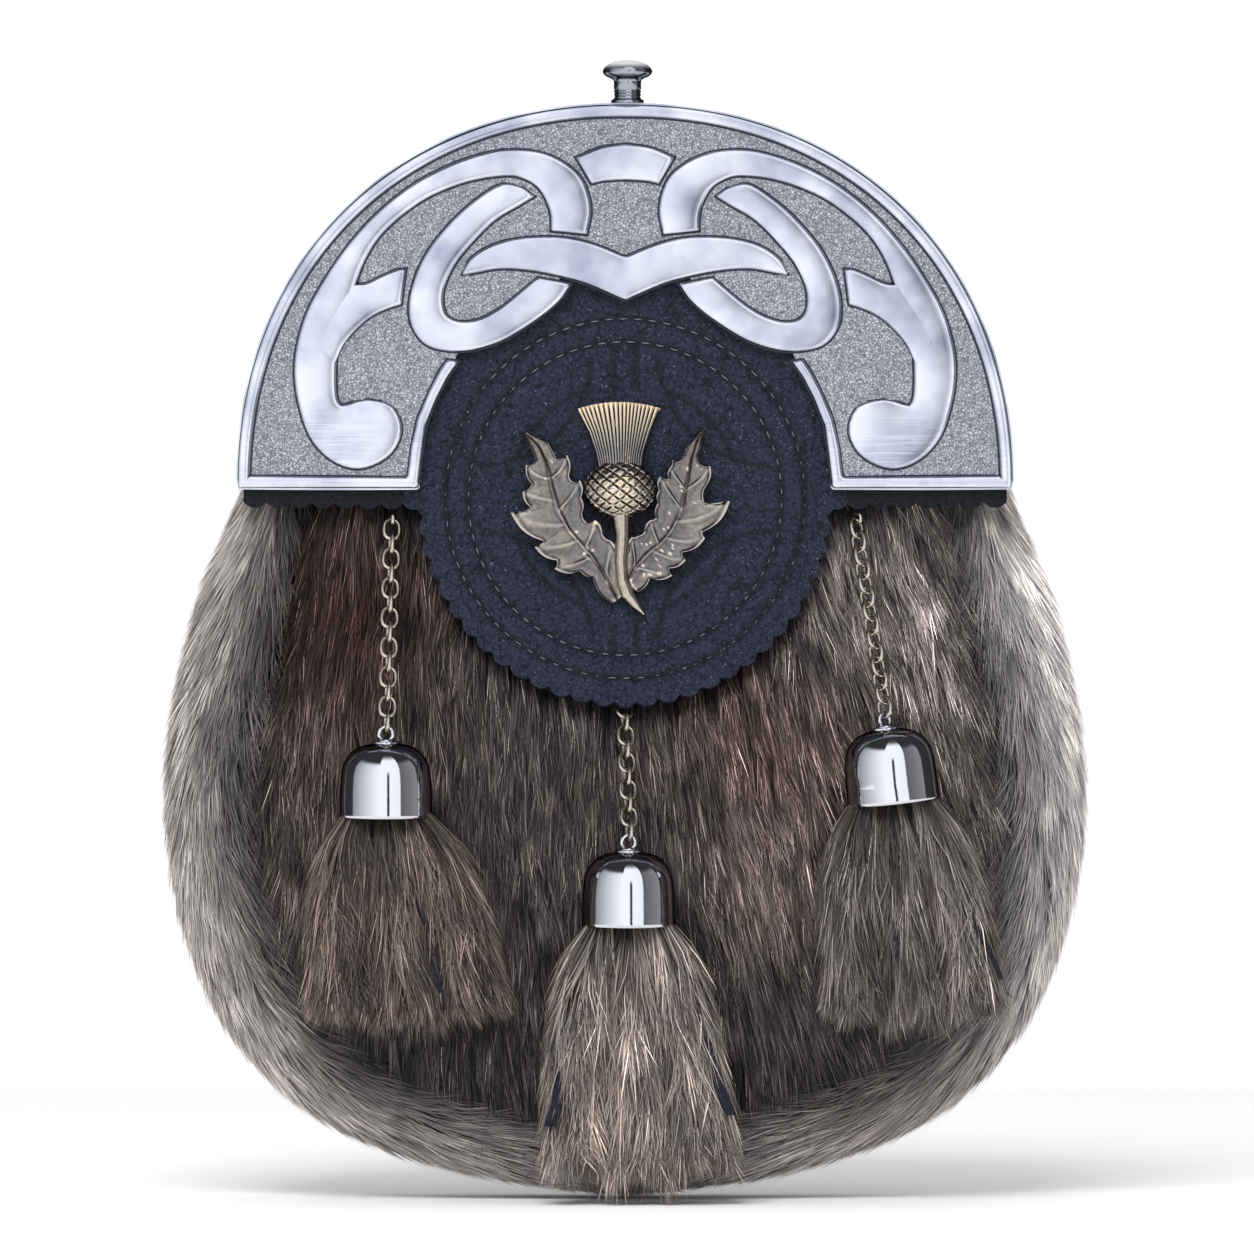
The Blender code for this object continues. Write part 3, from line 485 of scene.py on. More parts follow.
def hair_strip(bends):
    """One hair as a narrow strip that ends in a point: each corner's side and share of the
    way to the tip, and the corners of its triangles."""
    bm = bmesh.new()
    bmesh.ops.create_grid(bm, x_segments=1, y_segments=bends, size=0.5)
    tip = [vert for vert in bm.verts if vert.co.y > 0.499]
    bmesh.ops.pointmerge(bm, verts=tip, merge_co=(0.0, 0.5, 0.0))
    bmesh.ops.triangulate(bm, faces=bm.faces[:])
    bm.verts.index_update()
    sides = np.array([vert.co.x * 2 for vert in bm.verts])
    along = np.array([vert.co.y + 0.5 for vert in bm.verts])
    corners = np.array([[vert.index for vert in face.verts] for face in bm.faces])
    bm.free()
    return sides, along, corners


def grow_hair(name, skin, hairs, look, replaced):
    """Hairs in one piece. Each lies along its stroke over the skin, from its root's height
    to its tip's, and carries its pelt's tone and its own chance values for the material."""
    sides, along, corners = hair_strip(HAIR_BENDS)
    count = len(hairs["root"])
    levels = []
    for share in np.arange(HAIR_BENDS + 1) / HAIR_BENDS:
        points, out = skin(hairs["root"] + hairs["stroke"] * share)
        height = hairs["low"] + (hairs["high"] - hairs["low"]) * share**0.75
        levels.append(points + out * height[:, None] * MM)
    levels = np.stack(levels)
    ahead = levels[-1] - levels[0]
    ahead /= np.linalg.norm(ahead, axis=1, keepdims=True) + 1e-12
    aside = np.cross(ahead, out)
    aside /= np.linalg.norm(aside, axis=1, keepdims=True) + 1e-12
    roll = hairs["roll"][:, None]
    aside = aside * np.cos(roll) + np.cross(ahead, aside) * np.sin(roll)
    level = np.round(along * HAIR_BENDS).astype(int)
    taper = sides * (1 - 0.45 * along)
    points = levels[level] + aside[None] * (taper[:, None] * hairs["wide"] / 2 * MM)[:, :, None]
    points = points.transpose(1, 0, 2).reshape(-1, 3)
    triangles = (np.arange(count)[:, None, None] * len(sides) + corners).reshape(-1, 3)
    data = bpy.data.meshes.new(name)
    data.from_pydata(points, [], triangles)
    tone = data.attributes.new("tone", "FLOAT_COLOR", "POINT")
    tone.data.foreach_set("color", np.repeat(hairs["tone"], len(sides), axis=0).ravel())
    values = np.stack([
        np.tile(along, count),
        np.repeat(hairs["chance"], len(sides)),
        np.repeat(hairs["tuft"], len(sides)),
    ], axis=1)
    strand = data.attributes.new("strand", "FLOAT_VECTOR", "POINT")
    strand.data.foreach_set("vector", values.ravel())
    data.shade_smooth()
    fit(name, data, [look], replaced)


def drawn_hairs(chance, roots, strokes, tuft, tone, low, high, roll, wide):
    """Hairs for grow_hair, with their own draws: the middle and spread of their tips'
    heights, how far they roll, and their least width with what is added to it."""
    count = len(roots)
    return {
        "root": roots,
        "stroke": strokes,
        "tuft": tuft,
        "tone": tone,
        "low": np.full(count, low),
        "high": chance.normal(*high, count),
        "roll": chance.normal(0.0, roll, count),
        "wide": wide[0] + wide[1] * chance.random(count),
        "chance": chance.random(count),
    }


def gather(chance, roots, strokes, scale, tuft, pull, turn, spread):
    """Draws hairs together in tufts: tips of neighbours move towards their tuft's own tip.
    Scale gives the size of each skin unit in mm, so that tufts come out round."""
    flat = roots * scale
    shift = chance.random((64, 64, 2))
    turns = chance.normal(0.0, turn, (64, 64))
    tones = chance.random((64, 64))
    cells = np.floor(flat / tuft).astype(int)
    cells[:, 1] = np.floor(flat[:, 1] / tuft + 0.5 * (cells[:, 0] % 2)).astype(int)
    pick = (cells[:, 0] % 64, cells[:, 1] % 64)
    offset = np.stack([np.zeros(len(flat)), -0.5 * (cells[:, 0] % 2)], axis=1)
    middle = (cells + offset + 0.15 + 0.7 * shift[pick]) * tuft
    angle = turns[pick] + chance.normal(0.0, spread, len(flat))
    strokes = strokes * scale
    cos, sin = np.cos(angle)[:, None], np.sin(angle)[:, None]
    turned = strokes * cos + np.stack([-strokes[:, 1], strokes[:, 0]], axis=1) * sin
    tips = flat + turned
    tips += (middle + turned - tips) * pull * chance.random(len(flat))[:, None] ** 0.5
    return (tips - flat) / scale, tones[pick]


def drift(x, z, size, seed, long=None):
    """Smooth chance values from -1 to 1 over the pouch, with patches of about this size,
    or streaks that are this long upward."""
    return np.array([noise.noise((a / size, b / (long or size), seed)) for a, b in zip(x, z)])


def streaky(x, z, size, seed, depth):
    """Factors for the tones of a pelt: locks a few hairs wide, lit or in each other's shade."""
    broad = drift(x, z, size, seed, size * 9)
    return np.exp(depth * (broad + drift(x, z, size * 0.5, seed + 9, size * 4)))


def fur_look(name, root_shade, tip_shade, spread):
    """Guard hair and underfur: each hair is darkest where it leaves the hide and palest
    short of its tip, and no two are alike. Smooth scales give it a soft sheen."""
    made = new_material(name)
    strand = add(made, "SeparateXYZ", {"Vector": carried(made, "strand")["Vector"]})
    along, chance, tuft = strand.outputs
    up = ramp(made, along, (0.05, 0.9), (root_shade, tip_shade))
    own = ramp(made, chance, gives=(1 - spread, 1 + spread))
    lock = ramp(made, tuft, gives=(1 - spread * 0.6, 1 + spread * 0.6))
    tinted = add(made, "HueSaturation", {
        "Color": carried(made, "tone")["Color"],
        "Value": calc(made, "MULTIPLY", up, calc(made, "MULTIPLY", own, lock)),
        "Saturation": ramp(made, tuft, gives=(0.85, 1.2)),
    })
    feed(made, {
        "Base Color": tinted.outputs[0],
        "Roughness": 0.5,
        "Specular IOR Level": 0.3,
        "Sheen Weight": 0.05,
        "Sheen Roughness": 0.4,
    })
    return made


def blended(x, z, base, marks):
    """A pelt's colour at each place: its base, blended into each of its markings."""
    tone = np.tile(linear(base), (len(x), 1))
    for mark_x, mark_z, reach_x, reach_z, colour, weight in marks:
        wander_x = x + 7 * drift(x, z, 16, mark_x)
        wander_z = z + 9 * drift(x, z, 20, mark_z)
        share = ((wander_x - mark_x) / reach_x) ** 2 + ((wander_z - mark_z) / reach_z) ** 2
        share = (np.exp(-share) * weight)[:, None]
        tone = tone * (1 - share) + np.array(linear(colour)) * share
    return tone


ROLL_MARKS = (
    # x, z, reach_x, reach_z, colour, weight
    (-92.0, -95.0, 14.0, 45.0, "#b6b1af", 0.7),
    (-84.0, -150.0, 24.0, 24.0, "#bfb7b3", 0.8),
    (-50.0, -178.0, 40.0, 16.0, "#b0a8a5", 0.8),
    (10.0, -186.0, 46.0, 12.0, "#a69f9e", 0.9),
    (60.0, -170.0, 26.0, 18.0, "#968e8b", 0.8),
    (92.0, -90.0, 12.0, 60.0, "#dcd8d7", 0.85),
    (86.0, -58.0, 14.0, 22.0, "#e6e2e1", 0.8),
    (-66.0, -58.0, 10.0, 20.0, "#8d8784", 0.5),
)
HIDE_LOOK = new_material("hide with underfur")
down = mottle(HIDE_LOOK, spot_of(HIDE_LOOK), 1.2, 5.0)["Fac"]
feed(HIDE_LOOK, {
    "Base Color": blend(HIDE_LOOK, down, "#2b2320", "#5a4f48"),
    "Roughness": 0.95,
    "Normal": bumps(HIDE_LOOK, down, 0.8, 1.0),
    "Specular IOR Level": 0.1,
})

roll_points, roll_length = roll_table()
roll_skin = skin_over(roll_points, roll_length)
bm = shaped_grid(96, 16, lambda u, v: hide_point(roll_skin, (u * roll_length, v)))
bmesh.ops.remove_doubles(bm, verts=bm.verts, dist=1e-5)
bmesh.ops.recalc_face_normals(bm, faces=bm.faces)
# the roll goes round to the back, so only its first faces tell which side is out
faces = [face for face in bm.faces if abs(face.normal.y) > 0.5 and face.normal.length > 0.5]
if sum(face.normal.y * face.calc_area() for face in faces[: len(faces) // 2]) > 0:
    bmesh.ops.reverse_faces(bm, faces=bm.faces)
lay_hide("gusset_hide", bm)
PALE_FUR = fur_look("pale grey fur", 0.25, 1.2, 0.45)
ROLL_HAIRS = 30000  # on each side
for side, way in (("left", 1.0), ("right", -1.0)):
    chance = np.random.default_rng(11 if way > 0 else 12)
    start = 0.0 if way > 0 else roll_length / 2
    roots = np.stack([
        start - 3 + (roll_length / 2 + 6) * chance.random(ROLL_HAIRS * 2),
        chance.random(ROLL_HAIRS * 2) ** 0.9,
    ], axis=1)
    points, _ = roll_skin(roots)
    x, z = points[:, 0] / MM, points[:, 2] / MM
    # behind the cantle and the apron little shows, so the hair there is thinner
    seen = (z < -38) | (roots[:, 1] > 0.55) | (chance.random(len(x)) < 0.25)
    keep = np.flatnonzero(seen)[:ROLL_HAIRS]
    roots, x, z = roots[keep], x[keep], z[keep]
    turn = roots[:, 1]
    reach = 11.0 + 3.0 * chance.random(len(x))
    lean = np.interp(turn, (0.0, 0.12, 0.3, 0.55, 0.7, 1.0), (-0.12, -0.05, 0.12, 0.42, 0.3, 0.05))
    lean = lean * np.interp(z, (-185, -150, -60), (0.3, 0.7, 1.0)) + 0.12 * drift(x, z, 12, 5.0)
    lean += chance.normal(-0.1, 0.2, len(x)) * np.exp(-turn / 0.07)
    strokes = np.stack([way * reach * np.cos(lean), reach * np.sin(lean) / ROLL_GIRTH], axis=1)
    strokes, tuft = gather(chance, roots, strokes, (1.0, ROLL_GIRTH), 3.2, 0.75, 0.10, 0.07)
    tone = blended(x, z, "#bdb7b5", ROLL_MARKS)
    # painted shade: the hair darkens into the seam and round towards the back, and is painted a
    # little lighter on the roll's widest line
    painted_roll_shade = np.interp(
        turn, (0.0, 0.1, 0.2, 0.34, 0.6, 1.0), (0.15, 0.28, 0.56, 0.95, 1.08, 0.9)
    )
    locks = streaky(turn * ROLL_GIRTH, roots[:, 0], 1.8, 3.0, 0.6)
    tone[:, :3] *= (painted_roll_shade * (1 + 0.2 * drift(x, z, 6, 3.0)) * locks)[:, None]
    hairs = drawn_hairs(chance, roots, strokes, tuft, tone, -2.4, (0.6, 0.5), 0.6, (0.26, 0.16))
    grow_hair(f"{side}_gusset_fur", roll_skin, hairs, PALE_FUR, ["fur_gusset"])

# ---- Front panel. One piece of dark brown fur on its hide, inside the seam. The hair runs
# down it, leaning out to the right on its right half, and the pelt's own markings go from
# reddish brown to taupe. None grows under the apron, where it would only be crushed.

APRON_CENTRE_Z, APRON_RADIUS = -44.3, 44.3
FRONT_MARKS = (
    # x, z, reach_x, reach_z, colour, weight
    (-60.0, -62.0, 24.0, 30.0, "#2f1b14", 0.92),
    (-62.0, -105.0, 20.0, 30.0, "#574c4a", 0.7),
    (-22.0, -108.0, 20.0, 22.0, "#403a3a", 0.6),
    (0.0, -100.0, 16.0, 14.0, "#443c3a", 0.5),
    (62.0, -60.0, 22.0, 22.0, "#968c8a", 0.75),
    (72.0, -100.0, 14.0, 34.0, "#736c69", 0.8),
    (30.0, -104.0, 14.0, 18.0, "#6b5d58", 0.65),
    (30.0, -122.0, 12.0, 9.0, "#85776f", 0.5),
    (26.0, -84.0, 14.0, 10.0, "#523d35", 0.6),
    (48.0, -88.0, 12.0, 20.0, "#675853", 0.5),
    (0.0, -160.0, 60.0, 20.0, "#332e2e", 0.75),
    (-50.0, -140.0, 24.0, 16.0, "#3a3434", 0.6),
    (66.0, -140.0, 12.0, 20.0, "#76706d", 0.5),
)
BELL_SHADE_SPOTS = ((-50.6, -103.5), (0.7, -126.5), (56.0, -100.5))  # x, z of the painted shade on the fur behind each bell
BELL_SHADE_WIDE, BELL_SHADE_HIGH = 13.0, 10.5
FRONT_TOP_Z, FRONT_FOOT_Z = FUR_FRONTS[0][0], FUR_FRONTS[-1][0]
front_levels = curve_through(FUR_FRONTS, 4)[::-1]
seam_line = curve_through(BAG, 8)[::-1]
seam_half = lambda z: np.interp(z, seam_line[:, 3], seam_line[:, 2])


def front_skin(places):
    """The front's surface at places given as x and z, sinking towards its seam."""
    x, z = places[:, 0], places[:, 1]

    def depth(x, z):
        at_seam = np.interp(z, front_levels[:, 0], front_levels[:, 1])
        at_middle = np.interp(z, front_levels[:, 0], front_levels[:, 2])
        half = np.maximum(10.0, seam_half(z))
        bulged = at_middle + (at_seam - at_middle) * np.minimum(1.0, (x / half) ** 2)
        return bulged - SEAM_DIP * np.exp(-(np.maximum(half - abs(x), 0) / 4.0) ** 2)

    here = depth(x, z)
    points = np.stack([x, BACK_Y - here, z], axis=1) * MM
    slope_x = depth(x + 0.5, z) - depth(x - 0.5, z)
    slope_z = depth(x, z + 0.5) - depth(x, z - 0.5)
    out = np.stack([-slope_x, -np.ones(len(x)), -slope_z], axis=1)
    return points, out / np.linalg.norm(out, axis=1, keepdims=True)


def front_place(u, v):
    """The hide's points: rows from side to side, closer together towards the bottom."""
    rise = (FRONT_TOP_Z - FRONT_FOOT_Z) * (1 - math.cos(v * math.pi / 2))
    z = FRONT_FOOT_Z + rise if v < 1 else FRONT_TOP_Z
    return hide_point(front_skin, ((u * 2 - 1) * (float(seam_half(z)) - 0.4), z))


bm = shaped_grid(40, 48, front_place)
bmesh.ops.remove_doubles(bm, verts=bm.verts, dist=1e-5)
face_front(bm)
lay_hide("front_hide", bm)

FRONT_HAIRS = 58000
chance = np.random.default_rng(21)
x = chance.uniform(-80, 80, FRONT_HAIRS * 3)
z = chance.uniform(-174.5, -36, FRONT_HAIRS * 3)
free = (abs(x) < seam_half(z) - 0.6) & (np.hypot(x, z - APRON_CENTRE_Z) > APRON_RADIUS - 7)
free &= (z < -39) | (abs(x) > 46)
keep = np.flatnonzero(free)[:FRONT_HAIRS]
x, z = x[keep], z[keep]
reach = 12.0 + 4.0 * chance.random(len(x))
lean = np.interp(x, (-70, -30, 0, 40, 75), (-0.05, 0.02, 0.05, 0.28, 0.22))
lean += 0.16 * drift(x, z, 14, 1.0) + 0.16 * drift(x, z, 5, 2.0)
near = np.maximum(seam_half(z) - abs(x), 0)
lean += chance.normal(0.0, 0.22, len(x)) * np.exp(-near / 4)
strokes = np.stack([reach * np.sin(lean), -reach * np.cos(lean)], axis=1)
roots = np.stack([x, z], axis=1)
strokes, tuft = gather(chance, roots, strokes, (1.0, 1.0), 3.0, 0.75, 0.09, 0.07)
tone = blended(x, z, "#423d3d", FRONT_MARKS)
guard = chance.random(len(x)) < 0.16
tone[guard, :3] = tone[guard, :3] * 2.1 + np.array(linear("#a09690"))[:3] * 0.15
tone[:, :3] *= ((0.92 + 0.25 * drift(x, z, 7, 4.0)) * streaky(x, z, 1.2, 6.0, 1.8))[:, None]
# painted shade: the hair darkens into the seam's valley
tone[:, :3] *= np.interp(near, (0.0, 3.0, 8.0), (0.35, 0.7, 1.0))[:, None]
# painted shade: the fur round each bell is darkened as if it lay in the bell's shadow
for middle_x, middle_z in BELL_SHADE_SPOTS:
    away = ((x - middle_x) / BELL_SHADE_WIDE) ** 2 + ((z - middle_z) / BELL_SHADE_HIGH) ** 2
    tone[:, :3] *= (1 - 0.88 * np.exp(-away))[:, None]
DARK_FUR = fur_look("dark brown fur", 0.1, 1.25, 0.9)
wide = (np.where(guard, 0.15, 0.22), 0.14)
hairs = drawn_hairs(chance, roots, strokes, tuft, tone, -2.6, (0.5, 0.5), 0.6, wide)
grow_hair("front_fur", front_skin, hairs, DARK_FUR, ["fur_front"])

# ---- Apron. Navy leather, 1.8 mm thick, cut in one piece behind the cantle with a pinked
# lower edge. Its disc is tooled with damp-pressed lines and sewn round twice. It lies over
# the fur and bulges forward with it, fixed under the cantle.

APRON_BACK, APRON_THICK = 28.9, 1.8
APRON_BULGE = (
    # z, bulge: how far its middle bulges forward over the bag
    (-26.0, 0.0),
    (-42.0, 0.0),
    (-58.0, 2.6),
    (-72.0, 6.1),
    (-90.0, 10.7),
)
BULGE_HALF = 60.0
STRIP_Z, STRIP_END = -46.2, 81.4  # lower edge of the strips under the cantle's feet
LOBE, LOBE_DEPTH = 4.9, 1.1
CANTLE_HALF, CANTLE_RISE, FOOT_Z, ARCH_POWER = 82.6, 81.75, -42.15, 2.15
SEWN_RINGS = (38.3, 33.4)
TOOLED_ARCS = (
    # x, z, radius, first_turn, last_turn: arcs about a point, turns in degrees from right
    (0.0, -44.3, 24.5, 20.0, 70.0),
    (0.0, -44.3, 24.5, 110.0, 160.0),
    (0.0, -44.3, 24.5, 200.0, 250.0),
    (0.0, -44.3, 24.5, 290.0, 340.0),
    (31.0, -13.3, 24.0, 180.0, 270.0),
    (-31.0, -13.3, 24.0, 270.0, 360.0),
    (31.0, -75.3, 24.0, 90.0, 180.0),
    (-31.0, -75.3, 24.0, 0.0, 90.0),
)
TOOLED_LINES = (
    # x, top_z, foot_z: upright pairs above and below the middle
    (-2.4, -11.6, -21.5),
    (2.4, -11.6, -21.5),
    (-2.4, -70.0, -77.0),
    (2.4, -70.0, -77.0),
)
TOOL_WIDE, TOOL_DEEP = 1.1, 0.28


def arch(inset, count):
    """Points on the cantle's arch, from its top down its right side to foot level."""
    points = []
    for angle in np.linspace(math.pi / 2, 0.0, count):
        points.append((
            (CANTLE_HALF - inset) * math.cos(angle) ** (2 / ARCH_POWER),
            FOOT_Z + (CANTLE_RISE - inset) * math.sin(angle) ** (2 / ARCH_POWER),
        ))
    return np.array(points)


bulge_levels = curve_through(APRON_BULGE[::-1], 6)


def apron_face(x, z):
    bulge = max(0.0, float(np.interp(z, bulge_levels[:, 0], bulge_levels[:, 1])))
    return APRON_BACK + APRON_THICK + bulge * max(0.0, 1 - (x / BULGE_HALF) ** 2)


def pinked(path, steps):
    """A path of x, z points cut into rounded lobes, with a notch between each two."""
    path = np.array(path)
    length = lengths_along(path)
    lobes = round(length[-1] / LOBE)
    edge = []
    for place in np.linspace(0.0, length[-1], lobes * steps + 1):
        here, ahead, behind = (
            Vector([np.interp(np.clip(spot, 0, length[-1]), length, path[:, c]) for c in (0, 1)])
            for spot in (place, place + 1, place - 1)
        )
        along = (ahead - behind).normalized()
        lobe = abs(math.sin(math.pi * place / length[-1] * lobes))
        into = LOBE_DEPTH * (1 - min(1.0, lobe * 1.15))
        edge.append((here.x - into * along.y, here.y + into * along.x))
    return edge


def tooled(x, z):
    """How deep the tooling and the sewing press the leather in at a place."""
    away = math.hypot(x, z - APRON_CENTRE_Z)
    deep = 0.0
    for radius in SEWN_RINGS:
        deep = max(deep, 1.3 * math.exp(-(((away - radius) / 0.6) ** 2)))
    for mid_x, mid_z, radius, first, last in TOOLED_ARCS:
        turn = math.degrees(math.atan2(z - mid_z, x - mid_x)) % 360
        if first <= turn <= last:
            off = abs(math.hypot(x - mid_x, z - mid_z) - radius)
            deep = max(deep, math.exp(-((off / (TOOL_WIDE / 2)) ** 2)))
    for line_x, top_z, foot_z in TOOLED_LINES:
        if foot_z < z < top_z:
            deep = max(deep, math.exp(-(((x - line_x) / (TOOL_WIDE / 2)) ** 2)))
    return TOOL_DEEP * deep


over = both_halves(arch(1.2, 24)[::-1])
disc = [
    (APRON_RADIUS * math.cos(turn), APRON_CENTRE_Z - APRON_RADIUS * math.sin(turn))
    for turn in np.radians(np.linspace(177, 3, 90))
]
lower = pinked([(-STRIP_END, STRIP_Z), *disc, (STRIP_END, STRIP_Z)], 6)
bm = cut_sheet(
    [*over[1:-1], *lower],
    [-75, -68, -61, -54, *np.arange(-47.6, 47.7, 0.7), 54, 61, 68, 75],
    [*np.arange(-87.4, 4.0, 0.7), 10, 18, 26, 34],
)
for vert in bm.verts:
    x, z = vert.co.x / MM, vert.co.z / MM
    dished = 0.35 * math.exp(-(((math.hypot(x, z - APRON_CENTRE_Z) - 36) / 3.0) ** 2))
    vert.co.y = (BACK_Y - apron_face(x, z) + tooled(x, z) - dished * (z < -20)) * MM
face_front(bm)
NAVY_LEATHER = pressed_leather("navy pressed leather", "#080a14", "#23293c", "#80869a", 0.7)
apron = finish("tooled_apron", bm, [NAVY_LEATHER], ["apron"])
tooling_and_painted_shade = apron.data.attributes.new("tooling_and_painted_shade", "FLOAT", "POINT")
# painted shade: its strips under the cantle's feet are darkened whole, as if in the cantle's shadow
tooling_and_painted_shade.data.foreach_set("value", [
    max(tooled(x, z) / TOOL_DEEP, float(abs(x) > APRON_RADIUS + 3))
    for x, _, z in (vert.co / MM for vert in apron.data.vertices)
])
thicken(apron, APRON_THICK, 0.25)
bm = bmesh.new()
for radius in SEWN_RINGS:
    ring = [
        (radius * math.cos(turn), APRON_CENTRE_Z + radius * math.sin(turn))
        for turn in np.radians(np.linspace(0, 360, 241))
    ]
    ring = [at(x, apron_face(x, z) - 0.22, z) for x, z in ring if z < 6]
    sew(bm, ring, 3.1, 2.0, 0.32)
APRON_THREAD = WAXED_THREAD.copy()
APRON_THREAD.name = "slate linen thread"
feed(APRON_THREAD, {"Base Color": linear("#646a79")})
apron_thread = finish("apron_stitching", bm, [APRON_THREAD])

# ---- Badge. A thistle cast in one piece in bronze, then blackened and rubbed back, so that
# its ribs and edges shine gold and its hollows stay dark. Two pins through the apron hold it.

BADGE_X, BADGE_TOP_Z, BADGE_FOOT_Z, BADGE_TILT = -1.0, -23.8, -69.3, 5.5
LEFT_LEAF = (
    # rib_x, rib_z, outer_x, outer_z, inner_x, inner_z
    (-0.7, -66.0, -1.8, -66.6, 0.3, -65.1),
    (-3.5, -60.5, -5.9, -61.1, -0.5, -57.9),
    (-6.1, -56.6, -8.6, -59.8, -2.0, -53.4),
    (-7.8, -54.7, -13.9, -59.4, -3.9, -51.9),
    (-9.3, -53.0, -13.5, -57.5, -5.4, -48.9),
    (-11.0, -50.9, -18.2, -54.7, -7.1, -49.6),
    (-11.8, -49.4, -16.3, -53.4, -8.2, -47.5),
    (-13.3, -46.6, -23.3, -47.4, -8.4, -44.1),
    (-13.9, -44.5, -19.1, -46.2, -8.6, -40.5),
    (-14.6, -41.9, -20.8, -43.0, -10.1, -40.9),
    (-15.0, -39.8, -18.8, -41.3, -11.0, -39.2),
    (-15.4, -38.3, -20.1, -37.3, -11.4, -35.1),
    (-16.0, -36.2, -17.9, -36.4, -13.6, -35.9),
    (-17.6, -33.0, -19.1, -33.2, -15.4, -32.6),
    (-20.5, -30.2, -21.0, -29.6, -19.6, -30.4),
)
RIGHT_LEAF = (
    # rib_x, rib_z, outer_x, outer_z, inner_x, inner_z
    (1.6, -61.7, 3.5, -64.3, 0.7, -59.6),
    (3.3, -58.8, 6.3, -61.3, 1.8, -55.4),
    (5.2, -56.6, 11.0, -60.8, 2.4, -52.6),
    (6.9, -55.1, 10.3, -59.2, 3.7, -52.4),
    (8.4, -53.9, 13.9, -57.5, 5.2, -51.3),
    (9.9, -52.4, 13.1, -55.8, 6.3, -49.0),
    (11.0, -50.7, 18.0, -52.8, 7.6, -48.5),
    (12.0, -48.8, 17.4, -51.5, 8.0, -45.3),
    (13.1, -46.4, 23.3, -44.9, 8.2, -42.6),
    (13.5, -44.3, 17.8, -45.1, 8.4, -39.6),
    (13.9, -42.2, 18.2, -41.7, 10.3, -40.2),
    (14.4, -39.8, 19.1, -37.5, 10.5, -37.9),
    (14.7, -38.2, 16.7, -37.0, 11.1, -36.2),
    (15.4, -34.7, 16.9, -34.1, 13.1, -36.0),
    (16.5, -31.7, 17.4, -31.5, 14.4, -33.2),
    (17.5, -30.0, 17.9, -29.5, 16.9, -30.4),
)
STEM = (
    # crest_x, crest_z, left_x, left_z, right_x, right_z
    (0.0, -46.0, -2.2, -46.0, 2.2, -46.0),
    (0.4, -52.2, -1.2, -52.2, 2.0, -52.2),
    (0.1, -57.7, -1.4, -57.7, 1.6, -57.7),
    (0.4, -61.8, -1.0, -62.2, 1.8, -61.3),
    (1.5, -64.8, 0.1, -65.4, 2.9, -64.1),
    (3.3, -67.1, 2.2, -67.7, 4.4, -66.6),
    (5.0, -69.0, 4.7, -69.3, 5.3, -68.6),
)
TUFT = (
    # crest_x, crest_z, left_x, left_z, right_x, right_z
    (0.0, -37.5, -4.6, -37.5, 4.6, -37.5),
    (0.0, -34.6, -5.2, -34.6, 5.0, -34.6),
    (-0.1, -30.1, -6.7, -30.2, 6.5, -30.0),
    (-0.3, -23.8, -9.3, -25.3, 8.5, -25.1),
)
FLUTES = 19
BULB = (-0.1, -42.3, 7.7, 6.4, 5.2)  # x, z, half width, half height, how far it stands out
SCALE_ROWS = 8
LEAF_BOW = 0.13  # how far a leaf's edge bows between its teeth, as a share of its run
VEIN_SLANT = 1.2  # rows that a vein leaves the midrib before its tooth's own


def badge_point(x, rise, z):
    """A point of the badge, from its height above the badge's back."""
    share = (BADGE_TOP_Z - z) / (BADGE_TOP_Z - BADGE_FOOT_Z)
    return at(BADGE_X + x, APRON_BACK + APRON_THICK + GAP + BADGE_TILT * share + rise, z)


def between(rows, share):
    """A row part of the way down a table."""
    place = share * (len(rows) - 1)
    i = min(int(place), len(rows) - 2)
    return rows[i] + (rows[i + 1] - rows[i]) * (place - i)


def bowed(rows, share, first, bow):
    """A point of a table's edge, whose columns start at first. Between two rows the edge
    bows outward where it runs out to a tooth, and inward where it runs back. The last rows
    run straight to the tip."""
    place = share * (len(rows) - 1)
    i = min(int(place), len(rows) - 2)
    bow *= i < len(rows) - 3
    here, ahead = rows[i, first : first + 2], rows[i + 1, first : first + 2]
    step = ahead - here
    out = np.array((step[1], -step[0]))
    reach = [float(np.linalg.norm(rows[j, first : first + 2] - rows[j, :2])) for j in (i, i + 1)]
    way = np.sign(out @ (here - rows[i, :2])) * (1 if reach[1] > reach[0] else -1)
    return here + step * (place - i) + out * way * bow * math.sin(math.pi * (place - i))


def ribbed(rows, columns, per_row, height_of, bow=0.0, arc=1):
    """A closed relief from a table of crests and edges: its face is a grid over the rows,
    and its sides run straight down to the badge's back. Its rungs curve with the arc."""
    rows = np.array(rows, float)

    def place(u, v):
        crest = between(rows, v)[:2]
        reach = abs(2 * u - 1)
        edge = bowed(rows, v, 2 if u < 0.5 else 4, bow)
        x = crest[0] + (edge[0] - crest[0]) * reach
        z = crest[1] + (edge[1] - crest[1]) * reach**arc
        return badge_point(x, height_of(u, v), z)

    bm = shaped_grid(columns, per_row * (len(rows) - 1), place)
    skirt = bmesh.ops.extrude_edge_only(bm, edges=[e for e in bm.edges if e.is_boundary])
    for vert in skirt["geom"]:
        if isinstance(vert, bmesh.types.BMVert):
            x, z = vert.co.x / MM - BADGE_X, vert.co.z / MM
            vert.co = badge_point(x, 0.0, z)
    bmesh.ops.holes_fill(bm, edges=[e for e in bm.edges if e.is_boundary])
    bmesh.ops.recalc_face_normals(bm, faces=bm.faces)
    return bm


